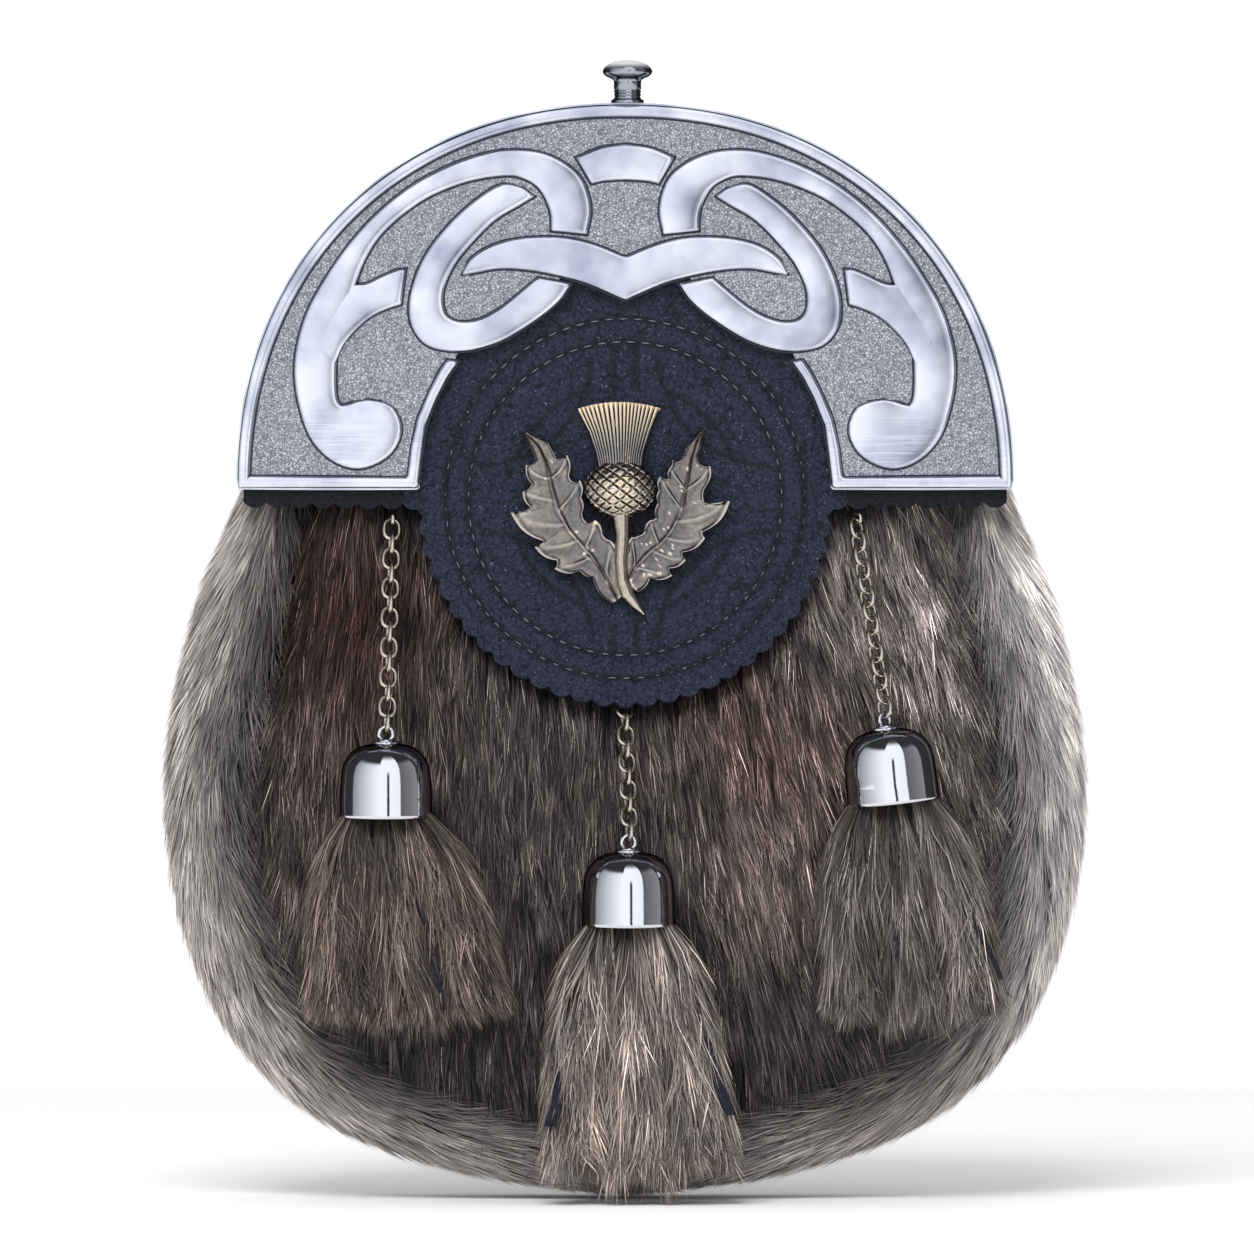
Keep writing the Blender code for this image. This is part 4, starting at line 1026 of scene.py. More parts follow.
def leaf_height(rows):
    """A leaf's relief: a blade hollowed between its veins, a fine midrib, a fine vein out to
    each tooth and a lip along its edge."""
    rows = np.array(rows, float)
    veins = []
    for first in (2, 4):
        spread = np.linalg.norm(rows[:, first : first + 2] - rows[:, :2], axis=1)
        veins.append([
            i for i in range(1, len(rows) - 1)
            if spread[i] >= spread[i - 1] and spread[i] > spread[i + 1]
        ])

    def height(u, v):
        reach = abs(2 * u - 1)
        place = v * (len(rows) - 1)
        slant = VEIN_SLANT * (1 - reach)
        near = min(abs(place - i + slant) for i in veins[0 if u < 0.5 else 1])
        vein = math.exp(-((near / 0.15) ** 2)) * min(1.0, 4 * reach) * (1 - reach**4)
        hollow = math.sin(math.pi / 2 * min(1.0, near / 0.9)) * math.sin(math.pi * reach**0.8)
        rib = math.exp(-((reach / 0.045) ** 2))
        lip = math.exp(-(((reach - 0.98) / 0.05) ** 2))
        return 1.6 + 0.25 * rib + 0.16 * vein - 0.34 * hollow + 0.3 * lip

    return height


def joined(parts):
    """Several bmeshes as one."""
    whole = bmesh.new()
    for part in parts:
        data = bpy.data.meshes.new("part")
        part.to_mesh(data)
        part.free()
        whole.from_mesh(data)
        bpy.data.meshes.remove(data)
    return whole


def bulb_relief():
    """The flower's bulb: half a ball, covered in rows of overlapping pointed scales."""
    x, z, half_wide, half_high, stands = BULB
    bm = bmesh.new()
    bmesh.ops.create_uvsphere(bm, u_segments=176, v_segments=96, radius=1.0)
    for vert in bm.verts:
        side = math.asin(max(-1.0, min(1.0, vert.co.x)))
        high = math.asin(max(-1.0, min(1.0, vert.co.z)))
        one = (high + side * 0.9) * SCALE_ROWS / math.pi
        two = (high - side * 1.1) * SCALE_ROWS / math.pi
        edge = min(abs(one - round(one)), abs(two - round(two)))
        scale = min(1.0, edge / 0.14) * 0.07 + 0.02 * ((one + two) * 0.5 % 1)
        vert.co *= 0.93 + scale
        vert.co = badge_point(
            x + vert.co.x * half_wide, 0.7 - vert.co.y * stands, z + vert.co.z * half_high
        )
    back = badge_point(x, 0.05, z)
    behind = (badge_point(x, 0.05, z + 1.0) - back).cross(Vector((1, 0, 0)))
    everything = bm.verts[:] + bm.edges[:] + bm.faces[:]
    bmesh.ops.bisect_plane(bm, geom=everything, plane_co=back, plane_no=behind, clear_outer=True)
    bmesh.ops.holes_fill(bm, edges=bm.edges)
    bmesh.ops.recalc_face_normals(bm, faces=bm.faces)
    return bm


def tuft_height(u, v):
    """Fluted like a brush, deepest at its top edge."""
    flute = abs(math.sin(math.pi * (u * FLUTES + 0.3 * math.sin(9 * u))))
    return 1.7 + 1.5 * (1 - (2 * u - 1) ** 2) - 0.5 * (1 - flute) ** 2 * (0.35 + 0.65 * v)


ANTIQUE_BRONZE = new_material("blackened cast bronze")
GOLDEN = "#ead9bd"
point = add(ANTIQUE_BRONZE, "NewGeometry", {}).outputs["Pointiness"]
spot = spot_of(ANTIQUE_BRONZE)
grit = mottle(ANTIQUE_BRONZE, spot, 0.7, 5.0)["Fac"]
edge = calc(ANTIQUE_BRONZE, "MULTIPLY_ADD", grit, 0.03, point)
grey = ramp(ANTIQUE_BRONZE, edge, (0.485, 0.535))
ridge = ramp(ANTIQUE_BRONZE, edge, (0.555, 0.62), (0.0, 0.6))
rubbing = mottle(ANTIQUE_BRONZE, spot, 5.0, 3.0)["Fac"]
patch = ramp(ANTIQUE_BRONZE, rubbing, (0.52, 0.72), (0.0, 0.5))
gilt = carried(ANTIQUE_BRONZE, "gilding")["Fac"]
gold = calc(ANTIQUE_BRONZE, "MAXIMUM", gilt, patch)
plain = blend(ANTIQUE_BRONZE, ridge, "#959190", GOLDEN)
worn = blend(ANTIQUE_BRONZE, gold, plain, GOLDEN)
feed(ANTIQUE_BRONZE, {
    "Base Color": blend(ANTIQUE_BRONZE, grey, "#1c1816", worn),
    "Metallic": 1.0,
    "Roughness": ramp(ANTIQUE_BRONZE, gilt, gives=(0.26, 0.16)),
    "Normal": bumps(ANTIQUE_BRONZE, grit, 0.05, 0.4),
})

bm = joined([
    bulb_relief(),
    ribbed(TUFT, FLUTES * 8, 8, tuft_height, arc=2),
    ribbed(STEM, 16, 6, lambda u, v: 1.6 + 1.8 * math.sqrt(max(0.0, 1 - (2 * u - 1) ** 2))),
    ribbed(LEFT_LEAF, 48, 13, leaf_height(LEFT_LEAF), bow=LEAF_BOW),
    ribbed(RIGHT_LEAF, 48, 13, leaf_height(RIGHT_LEAF), bow=LEAF_BOW),
])
badge = finish("cast_thistle", bm, [ANTIQUE_BRONZE], ["thistle_badge"], sharp=60)
# the tuft's brim, the stem, the middle of the bulb and the leaves' outer lobes are rubbed most
points = np.array([vert.co for vert in badge.data.vertices]) / MM - (BADGE_X, 0, 0)
brim = np.interp(points[:, 2], (BADGE_TOP_Z - 10.0, BADGE_TOP_Z - 1.5), (0.0, 1.0))
crest = np.interp(points[:, 2], *np.array(STEM)[::-1, 1::-1].T)
on_stem = (abs(points[:, 0] - crest) < 2.0) & (points[:, 2] < STEM[0][1])
on_bulb = np.hypot((points[:, 0] - BULB[0]) / BULB[2], (points[:, 2] - BULB[1]) / BULB[3])
lobes = np.interp(abs(points[:, 0]), (11.0, 21.0), (0.0, 0.25))
gilded = np.maximum(np.maximum(brim, 0.5 * on_stem), np.interp(on_bulb, (0.3, 1.0), (0.9, 0.0)))
gilded = np.maximum(gilded, lobes)
badge.data.attributes.new("gilding", "FLOAT", "POINT").data.foreach_set("value", gilded)

# ---- Cantle. One casting in white metal, silver plated: a stippled plate with a polished
# border and interlaced bands standing on it. It is blackened and wiped, so the stipple and
# a thin line round each band stay dark. It frames the mouth and carries the knob.

RIM = 2.7
FIELD_BACK, FIELD_FACE, RELIEF = 31.2, 33.4, 34.6
BAND_SWELL = 0.14  # how much a band's top swells along its middle
STREAKED_FROM = (-0.024, -0.029)  # z in metres where the streaks set in, and are full
SCROLL = (
    # outer_x, outer_z, inner_x, inner_z
    (8.1, 11.8, 15.8, 12.6),
    (7.2, 17.9, 16.1, 17.0),
    (9.8, 24.7, 18.3, 21.5),
    (16.6, 29.0, 21.7, 23.7),
    (24.7, 30.0, 24.9, 24.3),
    (31.9, 28.7, 31.1, 23.6),
    (39.6, 25.7, 37.5, 21.7),
    (47.1, 21.3, 43.9, 18.5),
    (54.5, 14.9, 51.1, 12.6),
    (61.3, 6.6, 55.4, 6.2),
    (67.1, -3.0, 58.3, -2.1),
    (69.8, -10.9, 60.9, -10.2),
    (70.5, -17.5, 61.5, -17.5),
    (69.6, -24.3, 61.3, -22.6),
    (67.1, -31.5, 60.5, -24.3),
    (62.4, -36.4, 59.8, -24.3),
    (56.4, -38.1, 59.0, -24.1),
    (50.2, -35.3, 58.1, -23.8),
    (47.5, -30.2, 57.5, -23.6),
    (48.8, -25.5, 56.6, -23.5),
    (51.9, -23.6, 54.9, -23.2),
)
BRANCH = (
    # upper_x, upper_z, lower_x, lower_z
    (66.0, -4.0, 66.0, -19.0),
    (62.0, -0.5, 62.2, -16.2),
    (58.5, 1.2, 60.0, -11.8),
    (55.4, 1.5, 57.0, -8.2),
    (51.9, 3.1, 53.7, -5.5),
    (48.8, 4.4, 50.2, -3.9),
    (46.6, 4.6, 47.6, -3.1),
)
RING = (
    # outer_x, outer_z, inner_x, inner_z
    (21.7, 21.9, 19.2, 20.0),
    (26.2, 22.7, 22.6, 17.9),
    (31.5, 19.6, 27.3, 15.1),
    (37.0, 14.7, 31.7, 10.9),
    (42.4, 7.9, 36.0, 5.7),
    (45.6, 0.2, 38.5, 0.2),
    (45.8, -6.8, 38.4, -4.3),
    (42.2, -11.8, 36.6, -6.2),
    (34.9, -13.1, 33.6, -6.6),
    (26.8, -11.1, 29.8, -5.5),
    (19.2, -6.6, 25.8, -3.1),
    (14.1, -2.4, 22.1, -0.1),
    (11.4, 1.4, 18.7, 2.8),
)
TIE = (
    # upper_x, upper_z, lower_x, lower_z: crosses the middle with a point
    (34.8, 3.8, 34.5, 3.1),
    (32.6, 7.1, 31.5, 3.7),
    (28.1, 9.8, 26.8, 4.5),
    (21.9, 11.2, 21.7, 4.3),
    (14.1, 11.4, 15.5, 3.3),
    (7.0, 10.0, 8.1, 1.3),
    (0.0, 7.2, 0.0, -2.2),
)
CROWN = (
    # upper_x, upper_z, lower_x, lower_z: the short arc over the middle
    (10.6, 28.3, 7.2, 22.6),
    (5.5, 30.4, 4.5, 23.2),
    (0.0, 31.2, 0.0, 23.5),
)
RIM_INNER_SIDE = (
    # outer_x, outer_z, inner_x, inner_z: the border's last stretch, up from the foot
    (44.1, -42.2, 46.4, -39.8),
    (43.4, -36.2, 45.6, -33.2),
    (42.4, -28.7, 44.3, -27.3),
    (40.2, -23.2, 41.7, -21.3),
    (37.9, -18.7, 39.6, -17.2),
    (35.4, -15.1, 37.9, -14.7),
)
FIELD_EDGE = (
    # x, z: where the plate's edge runs hidden under the ring and the tie
    (36.2, -14.6),
    (34.3, -9.9),
    (28.3, -8.3),
    (22.5, -4.9),
    (17.5, -0.5),
    (11.5, 4.5),
    (0.0, 2.0),
)
SHOULDER = (
    # in_from_edge, rise: the shape of a band's edge, from the dark line at its foot
    (-0.35, 0.02),
    (-0.02, 0.02),
    (0.04, 0.55),
    (0.14, 0.76),
    (0.32, 0.89),
    (0.6, 0.97),
    (1.0, 1.0),
)


def raised_band(ladder, foot, face, camber):
    """A band of the relief over a fine ladder of rungs: steep sides, rounded shoulders, a
    top that swells a little, and the same shoulder at both ends."""
    length = lengths_along((ladder[:, :2] + ladder[:, 2:]) / 2)
    ends = [inward for inward, _ in SHOULDER]
    stops = [*ends, *np.arange(1.3, length[-1] - 1.0, 0.9), *(length[-1] - e for e in ends[::-1])]
    inner = 5  # points across its top, between the shoulders
    columns = len(SHOULDER) * 2 + inner - 1

    def rise_at(inward):
        return float(np.interp(inward, *np.array(SHOULDER).T))

    def place(u, v):
        stop = stops[round(v * (len(stops) - 1))]
        one_x, one_z, two_x, two_z = (np.interp(stop, length, column) for column in ladder.T)
        one, two = Vector((one_x, one_z)), Vector((two_x, two_z))
        if stop < 0 or stop > length[-1]:
            beyond = stop if stop < 0 else stop - length[-1]
            near, far = ladder[:2] if stop < 0 else ladder[-2:]
            ahead = Vector(far[:2] + far[2:] - near[:2] - near[2:]).normalized()
            one, two = one + ahead * beyond, two + ahead * beyond
        wide = (two - one).length
        step = round(u * columns)
        if step < len(SHOULDER):
            inward = SHOULDER[step][0]
        elif step > columns - len(SHOULDER):
            inward = wide - SHOULDER[columns - step][0]
        else:
            first, last = SHOULDER[-1][0], wide - SHOULDER[-1][0]
            inward = first + (last - first) * (step - len(SHOULDER) + 1) / (inner + 1)
        inward = min(max(inward, ends[0]), wide - ends[0])
        if wide < 2 * SHOULDER[-1][0] + 0.1:
            inward = wide * step / columns
        spot = one + (two - one) * (inward / max(wide, 1e-6))
        edge = rise_at(min(inward, wide - inward)) * rise_at(min(stop, length[-1] - stop))
        swell = camber * max(0.0, 1 - (2 * inward / max(wide, 1e-6) - 1) ** 2)
        return at(spot.x, foot + (face + swell - foot) * edge, spot.y)

    bm = shaped_grid(columns, len(stops) - 1, place)
    face_front(bm)
    return bm


def cantle_plate():
    """The stippled plate under the bands."""
    outside = arch(0.8, 90)
    outside[-1, 1] = FOOT_Z + 0.5
    rungs = np.array(RIM_INNER_SIDE)[:-1]
    half = np.vstack([outside, (rungs[:, :2] + rungs[:, 2:]) / 2, FIELD_EDGE])
    bm = bmesh.new()
    outline = np.vstack([half, mirrored(half)[-2:0:-1]])
    bm.faces.new([bm.verts.new(at(x, FIELD_FACE, z)) for x, z in outline])
    grown = bmesh.ops.extrude_face_region(bm, geom=bm.faces[:], use_keep_orig=True)
    for vert in grown["geom"]:
        if isinstance(vert, bmesh.types.BMVert):
            vert.co.y = (BACK_Y - FIELD_BACK) * MM
    bmesh.ops.recalc_face_normals(bm, faces=bm.faces)
    return bm


def rim_ladder():
    """The border's rungs from one inner end over the arch to the other."""
    outside, inside = arch(0.0, 110), arch(RIM, 110)
    inside[-1, 1] = FOOT_Z + RIM
    half = np.vstack([np.hstack([outside, inside]), RIM_INNER_SIDE])
    return both_halves(half[::-1])


def level_of(made):
    """How high a point of the surface lies."""
    return add(made, "SeparateXYZ", {"Vector": spot_of(made)}).outputs[2]


POLISHED_SILVER = new_material("polished silver plate")
spot = spot_of(POLISHED_SILVER)
stroke = add(POLISHED_SILVER, "Mapping", {"Vector": spot, "Scale": (60.0, 60.0, 2600.0)})
strokes = {"Vector": stroke.outputs[0], "Scale": 1.0, "Detail": 4.0}
brushed = add(POLISHED_SILVER, "TexNoise", strokes).outputs["Fac"]
# painted reflection: soft pale and dark patches in the plate's colour stand for the room that it
# mirrors; the same patches vary its roughness
haze_and_reflection = mottle(POLISHED_SILVER, spot, 14.0, 3.0)["Fac"]
painted_reflection = blend(POLISHED_SILVER, ramp(POLISHED_SILVER, haze_and_reflection, (0.3, 0.62)), "#9ba1b3", "#d9dce4")
# the scroll's ends show level streaks from the last polish
foot = ramp(POLISHED_SILVER, level_of(POLISHED_SILVER), STREAKED_FROM)
streak = ramp(POLISHED_SILVER, brushed, (0.46, 0.62), (-0.3, 0.5))
streaked = blend(POLISHED_SILVER, calc(POLISHED_SILVER, "MULTIPLY", foot, streak), painted_reflection, "#dfe2ea")
black = carried(POLISHED_SILVER, "blackening")["Fac"]
feed(POLISHED_SILVER, {
    "Base Color": blend(POLISHED_SILVER, black, streaked, "#353940"),
    "Metallic": 1.0,
    "Roughness": ramp(POLISHED_SILVER, haze_and_reflection, gives=(0.12, 0.28)),
    "Normal": bumps(POLISHED_SILVER, brushed, 0.006, 0.25),
})

STIPPLED_SILVER = new_material("stippled and blackened silver plate")
spot = spot_of(STIPPLED_SILVER)
pebbles = cell_pattern(STIPPLED_SILVER, spot, 0.6, "DISTANCE_TO_EDGE")
wriggle = mottle(STIPPLED_SILVER, spot, 0.65, 2.0, 1.5)["Fac"]
height = calc(STIPPLED_SILVER, "MULTIPLY_ADD", pebbles, 1.2, wriggle)
tops = ramp(STIPPLED_SILVER, height, (0.5, 0.95))
feed(STIPPLED_SILVER, {
    "Base Color": blend(STIPPLED_SILVER, tops, "#74787f", "#d4d8e0"),
    "Metallic": 1.0,
    "Roughness": 0.54,
    "Normal": bumps(STIPPLED_SILVER, height, 0.15, 0.55),
})

bands = [raised_band(rim_ladder(), FIELD_FACE, RELIEF, 0.1)]
for turn in (mirrored, np.array):
    for rows in (SCROLL, BRANCH, RING):
        ladder = turn(curve_through(rows, 6))
        bands.append(raised_band(ladder, FIELD_FACE, RELIEF - 0.1, BAND_SWELL))
for rows, lower in ((TIE, 0.15), (CROWN, 0.1)):
    ladder = both_halves(curve_through(rows, 6))
    bands.append(raised_band(ladder, FIELD_FACE, RELIEF - lower, BAND_SWELL))
bm = joined([*bands, cantle_plate()])
plate_y = (BACK_Y - FIELD_FACE + 0.1) * MM
for face in bm.faces:
    if len(face.verts) > 60 or face.calc_center_median().y > plate_y:
        face.material_index = 1
looks = [POLISHED_SILVER, STIPPLED_SILVER]
cantle = finish("cast_cantle", bm, looks, ["cantle"], sharp=50)
line = cantle.data.attributes.new("blackening", "FLOAT", "POINT")
points = np.array([vert.co for vert in cantle.data.vertices]) / MM
low = np.interp(BACK_Y - points[:, 1], (FIELD_FACE + 0.1, FIELD_FACE + 0.5), (1.0, 0.0))
# the border's outer side is wiped clean
up = np.maximum(points[:, 2] - FOOT_Z, 0.0)
far = (abs(points[:, 0]) / CANTLE_HALF) ** ARCH_POWER + (up / CANTLE_RISE) ** ARCH_POWER
line.data.foreach_set("value", low * ((far < 0.985) & (up > 0.2)))

# ---- Knob. A mushroom finial turned in brass and nickel plated, with four fine grooves
# round its stem. Its stud is screwed into the top of the arch.

KNOB_X = 0.5
KNOB_GREY = "#9d9fa8"
KNOB_PALE_TOP = (7.4, 8.6)  # heights above the arch where the painted light on the top sets in, and is full
KNOB = (
    # radius, height above the arch
    (0.0, 9.4),
    (1.6, 9.34),
    (3.0, 9.05),
    (4.2, 8.5),
    (5.0, 7.8),
    (5.3, 7.1),
    (5.1, 6.45),
    (4.5, 5.95),
    (3.6, 5.6),
    (3.0, 5.2),
    (2.9, 4.8),
    (2.9, 3.25),
    (2.75, 3.1),
    (2.75, 2.95),
    (2.9, 2.8),
    (2.9, 2.6),
    (2.72, 2.45),
    (2.72, 2.3),
    (2.88, 2.15),
    (2.88, 1.95),
    (2.7, 1.8),
    (2.7, 1.65),
    (2.85, 1.5),
    (2.85, 1.2),
    (3.3, 1.0),
    (3.5, 0.8),
    (3.5, 0.3),
    (0.0, 0.3),
)


def spin_round(bm, steps, place):
    """Sweeps what a bmesh holds round its Z axis, closes it and moves it to its place."""
    bmesh.ops.spin(
        bm, geom=bm.verts[:] + bm.edges[:], cent=(0, 0, 0), axis=(0, 0, 1), dvec=(0, 0, 0),
        angle=math.tau, steps=steps, use_merge=True,
    )
    bmesh.ops.remove_doubles(bm, verts=bm.verts, dist=1e-6)
    bmesh.ops.recalc_face_normals(bm, faces=bm.faces)
    bmesh.ops.transform(bm, matrix=place, verts=bm.verts)
    return bm


def spun(profile, steps, middle):
    """A turned piece: its profile of radii and heights, spun round its own axis."""
    bm = bmesh.new()
    verts = [bm.verts.new((radius * MM, 0.0, height * MM)) for radius, height in profile]
    for pair in zip(verts, verts[1:]):
        bm.edges.new(pair)
    return spin_round(bm, steps, Matrix.Translation(middle))


DARK_NICKEL = plated("dark nickel plate", KNOB_GREY, 0.1, 0.4)
knob_foot = at(KNOB_X, (FIELD_BACK + RELIEF) / 2, FOOT_Z + CANTLE_RISE)
# painted light: its top is painted pale, as if lit from above, and is made satin and less metallic
pale_from = [knob_foot.z + height * MM for height in KNOB_PALE_TOP]
satin_and_painted_light = ramp(DARK_NICKEL, level_of(DARK_NICKEL), pale_from)
feed(DARK_NICKEL, {
    "Base Color": blend(DARK_NICKEL, satin_and_painted_light, KNOB_GREY, "#f4f5f8"),
    "Roughness": ramp(DARK_NICKEL, satin_and_painted_light, gives=(0.14, 0.55)),
    "Metallic": ramp(DARK_NICKEL, satin_and_painted_light, gives=(1.0, 0.45)),
})
bm = spun(KNOB, 64, knob_foot)
finish("turned_knob", bm, [DARK_NICKEL], ["cantle_knob"], sharp=50)

# ---- Chains. Three lengths of oval-link chain in drawn nickel-brass wire, each link a
# quarter turn on from the last. They hang from wire staples set through the hide, two
# beside the apron's disc and one below it. The wire is dull and warm, darker inside.

DULL_NICKEL = plated("drawn nickel-brass wire", "#c9bfb0", 0.2, 0.25)
for side in ("left", "centre", "right"):
    links = sorted(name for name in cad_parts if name.startswith(f"link_{side}_"))
    rounded_copy(f"{side}_chain", links, 0.15, DULL_NICKEL)
    rounded_copy(f"{side}_staple", [f"staple_{side}"], 0.1, DULL_NICKEL)

# ---- Bells. A cup pressed from sheet brass and chrome plated, open below, with a small
# collar and a ring eye brazed on its crown. The eye hangs in the chain's last link. The
# chrome is a clear mirror, so it shows the room: dark at its sides, with white windows.

EYE_RADIUS, EYE_RISE, WIRE = 1.5, 1.7, 0.85
BELL = (
    # radius, height above the crown: boss, washer, crown, side, rolled lip, bore
    (0.0, 0.62),
    (1.5, 0.6),
    (1.8, 0.42),
    (1.85, 0.12),
    (2.9, 0.1),
    (3.05, 0.0),
    (3.05, -0.3),
    (3.3, -0.44),
    (4.7, -0.7),
    (6.2, -1.3),
    (7.5, -2.3),
    (8.5, -3.55),
    (9.15, -5.0),
    (9.5, -6.8),
    (9.7, -9.0),
    (9.8, -12.0),
    (9.8, -14.7),
    (9.9, -15.1),
    (9.9, -15.8),
    (9.7, -16.0),
    (9.1, -16.0),
    (8.9, -15.8),
    (8.8, -11.0),
    (8.4, -6.6),
    (7.2, -4.3),
    (4.8, -2.8),
    (0.0, -2.2),
)
HANGING = (
    # side, bell's top, bell's foot, tassel's tip: each x, depth, z; half its width at the
    # tip; turn of the first link in degrees
    ("left", (-50.6, 50.9, -96.0), (-50.6, 50.4, -111.4), (-45.5, 47.6, -157.0), 20.5, 12.0),
    ("centre", (0.7, 53.7, -118.9), (0.7, 53.2, -134.3), (3.2, 52.0, -190.5), 19.6, 18.0),
    ("right", (55.1, 50.4, -93.0), (56.8, 49.9, -108.3), (61.5, 46.6, -157.0), 18.0, 45.0),
)


def hung(top, foot):
    """The place of a piece that hangs from one point to another: its origin at the first,
    its Z up against the fall and its X to the pouch's right."""
    up = (top - foot).normalized()
    right = (Vector((1, 0, 0)) - up * up.x).normalized()
    return Matrix.Translation(top) @ Matrix((right, up.cross(right), up)).transposed().to_4x4()


def ring_eye(turn):
    """The bell's ring eye: a circle of wire swept round, upright on the crown."""
    bm = bmesh.new()
    section = bmesh.ops.create_circle(bm, segments=10, radius=WIRE / 2 * MM)["verts"]
    bmesh.ops.rotate(bm, verts=section, matrix=Matrix.Rotation(math.radians(90), 3, "X"))
    bmesh.ops.translate(bm, verts=section, vec=(EYE_RADIUS * MM, 0, 0))
    upright = Matrix.Translation((0, 0, EYE_RISE * MM)) @ Matrix.Rotation(turn, 4, "Z")
    return spin_round(bm, 28, upright @ Matrix.Rotation(math.radians(90), 4, "X"))


MIRROR_CHROME = plated("chrome plate", "#d2d3d8", 0.03, 0.5, 0.03)
for side, top, foot, _, _, degrees in HANGING:
    links = sum(name.startswith(f"link_{side}_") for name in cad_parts)
    bm = joined([spun(BELL, 72, (0, 0, 0)), ring_eye(math.radians(degrees + 90 * links))])
    bmesh.ops.transform(bm, matrix=hung(at(*top), at(*foot)), verts=bm.verts)
    finish(f"{side}_bell", bm, [MIRROR_CHROME], [f"bell_{side}"], sharp=50)

# ---- Tassels. Strips of fur cut with their navy hide, in two rows on a plug inside each
# bell. The hair hangs past the hide's cut ends and splays out, its tips uneven. Here and
# there a strip's hide shows between the hairs as a dark sliver.

TASSEL_STRIPS = 3
STRIP_LEVELS = (
    # along, width as a share of the room for it, thickness
    (0.0, 1.15, 4.6),
    (0.6, 1.0, 5.2),
    (1.0, 0.9, 2.4),
)
HEAD_RADIUS, HEAD_TAPER, HEAD_TOP, HEAD_FOOT = 7.6, 1.2, -6.6, -15.4
STRIP_ROOT_HALF, STRIP_ROOT_Y = 7.6, 2.7
TIP_ROW_Y = 3.4  # the rows stand this far apart from the middle at their tips
TASSEL_TONES = {
    # base, streaks, streaks' share, dark hairs
    "left": ("#5f544f", "#85786f", 0.45, "#2b2422"),
    "centre": ("#827a76", "#a0948b", 0.45, "#4a423e"),
    "right": ("#645d5b", "#827a75", 0.4, "#342e2c"),
}
SLIVERS = (
    # side, top_x, top_z, foot_x, foot_z, wide: where a strip's hide shows
    ("left", -59.6, -119.0, -60.6, -152.0, 1.4),
    ("left", -45.1, -123.5, -38.1, -152.4, 1.2),
    ("centre", -13.6, -164.0, -15.4, -177.0, 2.6),
    ("centre", 14.5, -149.7, 22.0, -174.6, 2.4),
    ("right", 56.0, -131.0, 58.0, -147.0, 1.0),
    ("right", 73.0, -131.0, 79.0, -146.0, 1.2),
)
SLIVER_OUT = 0.4  # out from where the hair's roots lie, so that it half hides them
TASSEL_HAIRS = 4900  # to a strip
TASSEL_BELLY = 0.15  # how much fuller each strip's hair stands half way down
TASSEL_BULGE = 3.6  # how far the outer strips' hair stands out there


def strip_skin(root, end, half_wide, bulge):
    """The hair's lie over one strip: places are its share of the way down and round it."""

    def skin(places):
        down, turn = places[:, 0], places[:, 1] * math.tau
        levels = np.array(STRIP_LEVELS)
        share, thick = (np.interp(down, levels[:, 0], levels[:, i]) for i in (1, 2))
        wide = (STRIP_ROOT_HALF + (half_wide - STRIP_ROOT_HALF) * down) / TASSEL_STRIPS * share
        belly = np.sin(math.pi * np.clip(down, 0, 1) ** 0.65)[:, None]
        out = np.stack([np.cos(turn), -np.sin(turn), np.zeros(len(down))], axis=1)
        reach = np.stack([wide, thick / 2, np.zeros(len(down))], axis=1) * MM
        middle = root + (end - root) * down[:, None] + bulge * belly * MM
        return middle + out * reach * (1 + TASSEL_BELLY * belly), out

    return skin


def sliver(top_x, top_z, foot_x, foot_z, wide, bell_foot, tip):
    """A strip's bare hide between the hairs: pointed above, cut off square below."""

    def place(u, v):
        half = wide / 2 * min(1.0, 0.12 + 2.2 * v)
        across = (u * 2 - 1) * half + 0.5 * math.sin(v * 5 + top_x)
        z = top_z + (foot_z - top_z) * v
        down = min(1.0, (bell_foot[2] - z) / (bell_foot[2] - tip[2]))
        thick = np.interp(down, *np.array(STRIP_LEVELS)[:, (0, 2)].T)
        middle = bell_foot[1] + (tip[1] - bell_foot[1]) * down + TIP_ROW_Y
        return at(top_x + (foot_x - top_x) * v + across, middle + thick / 2 + SLIVER_OUT, z)

    return shaped_grid(4, 16, place)


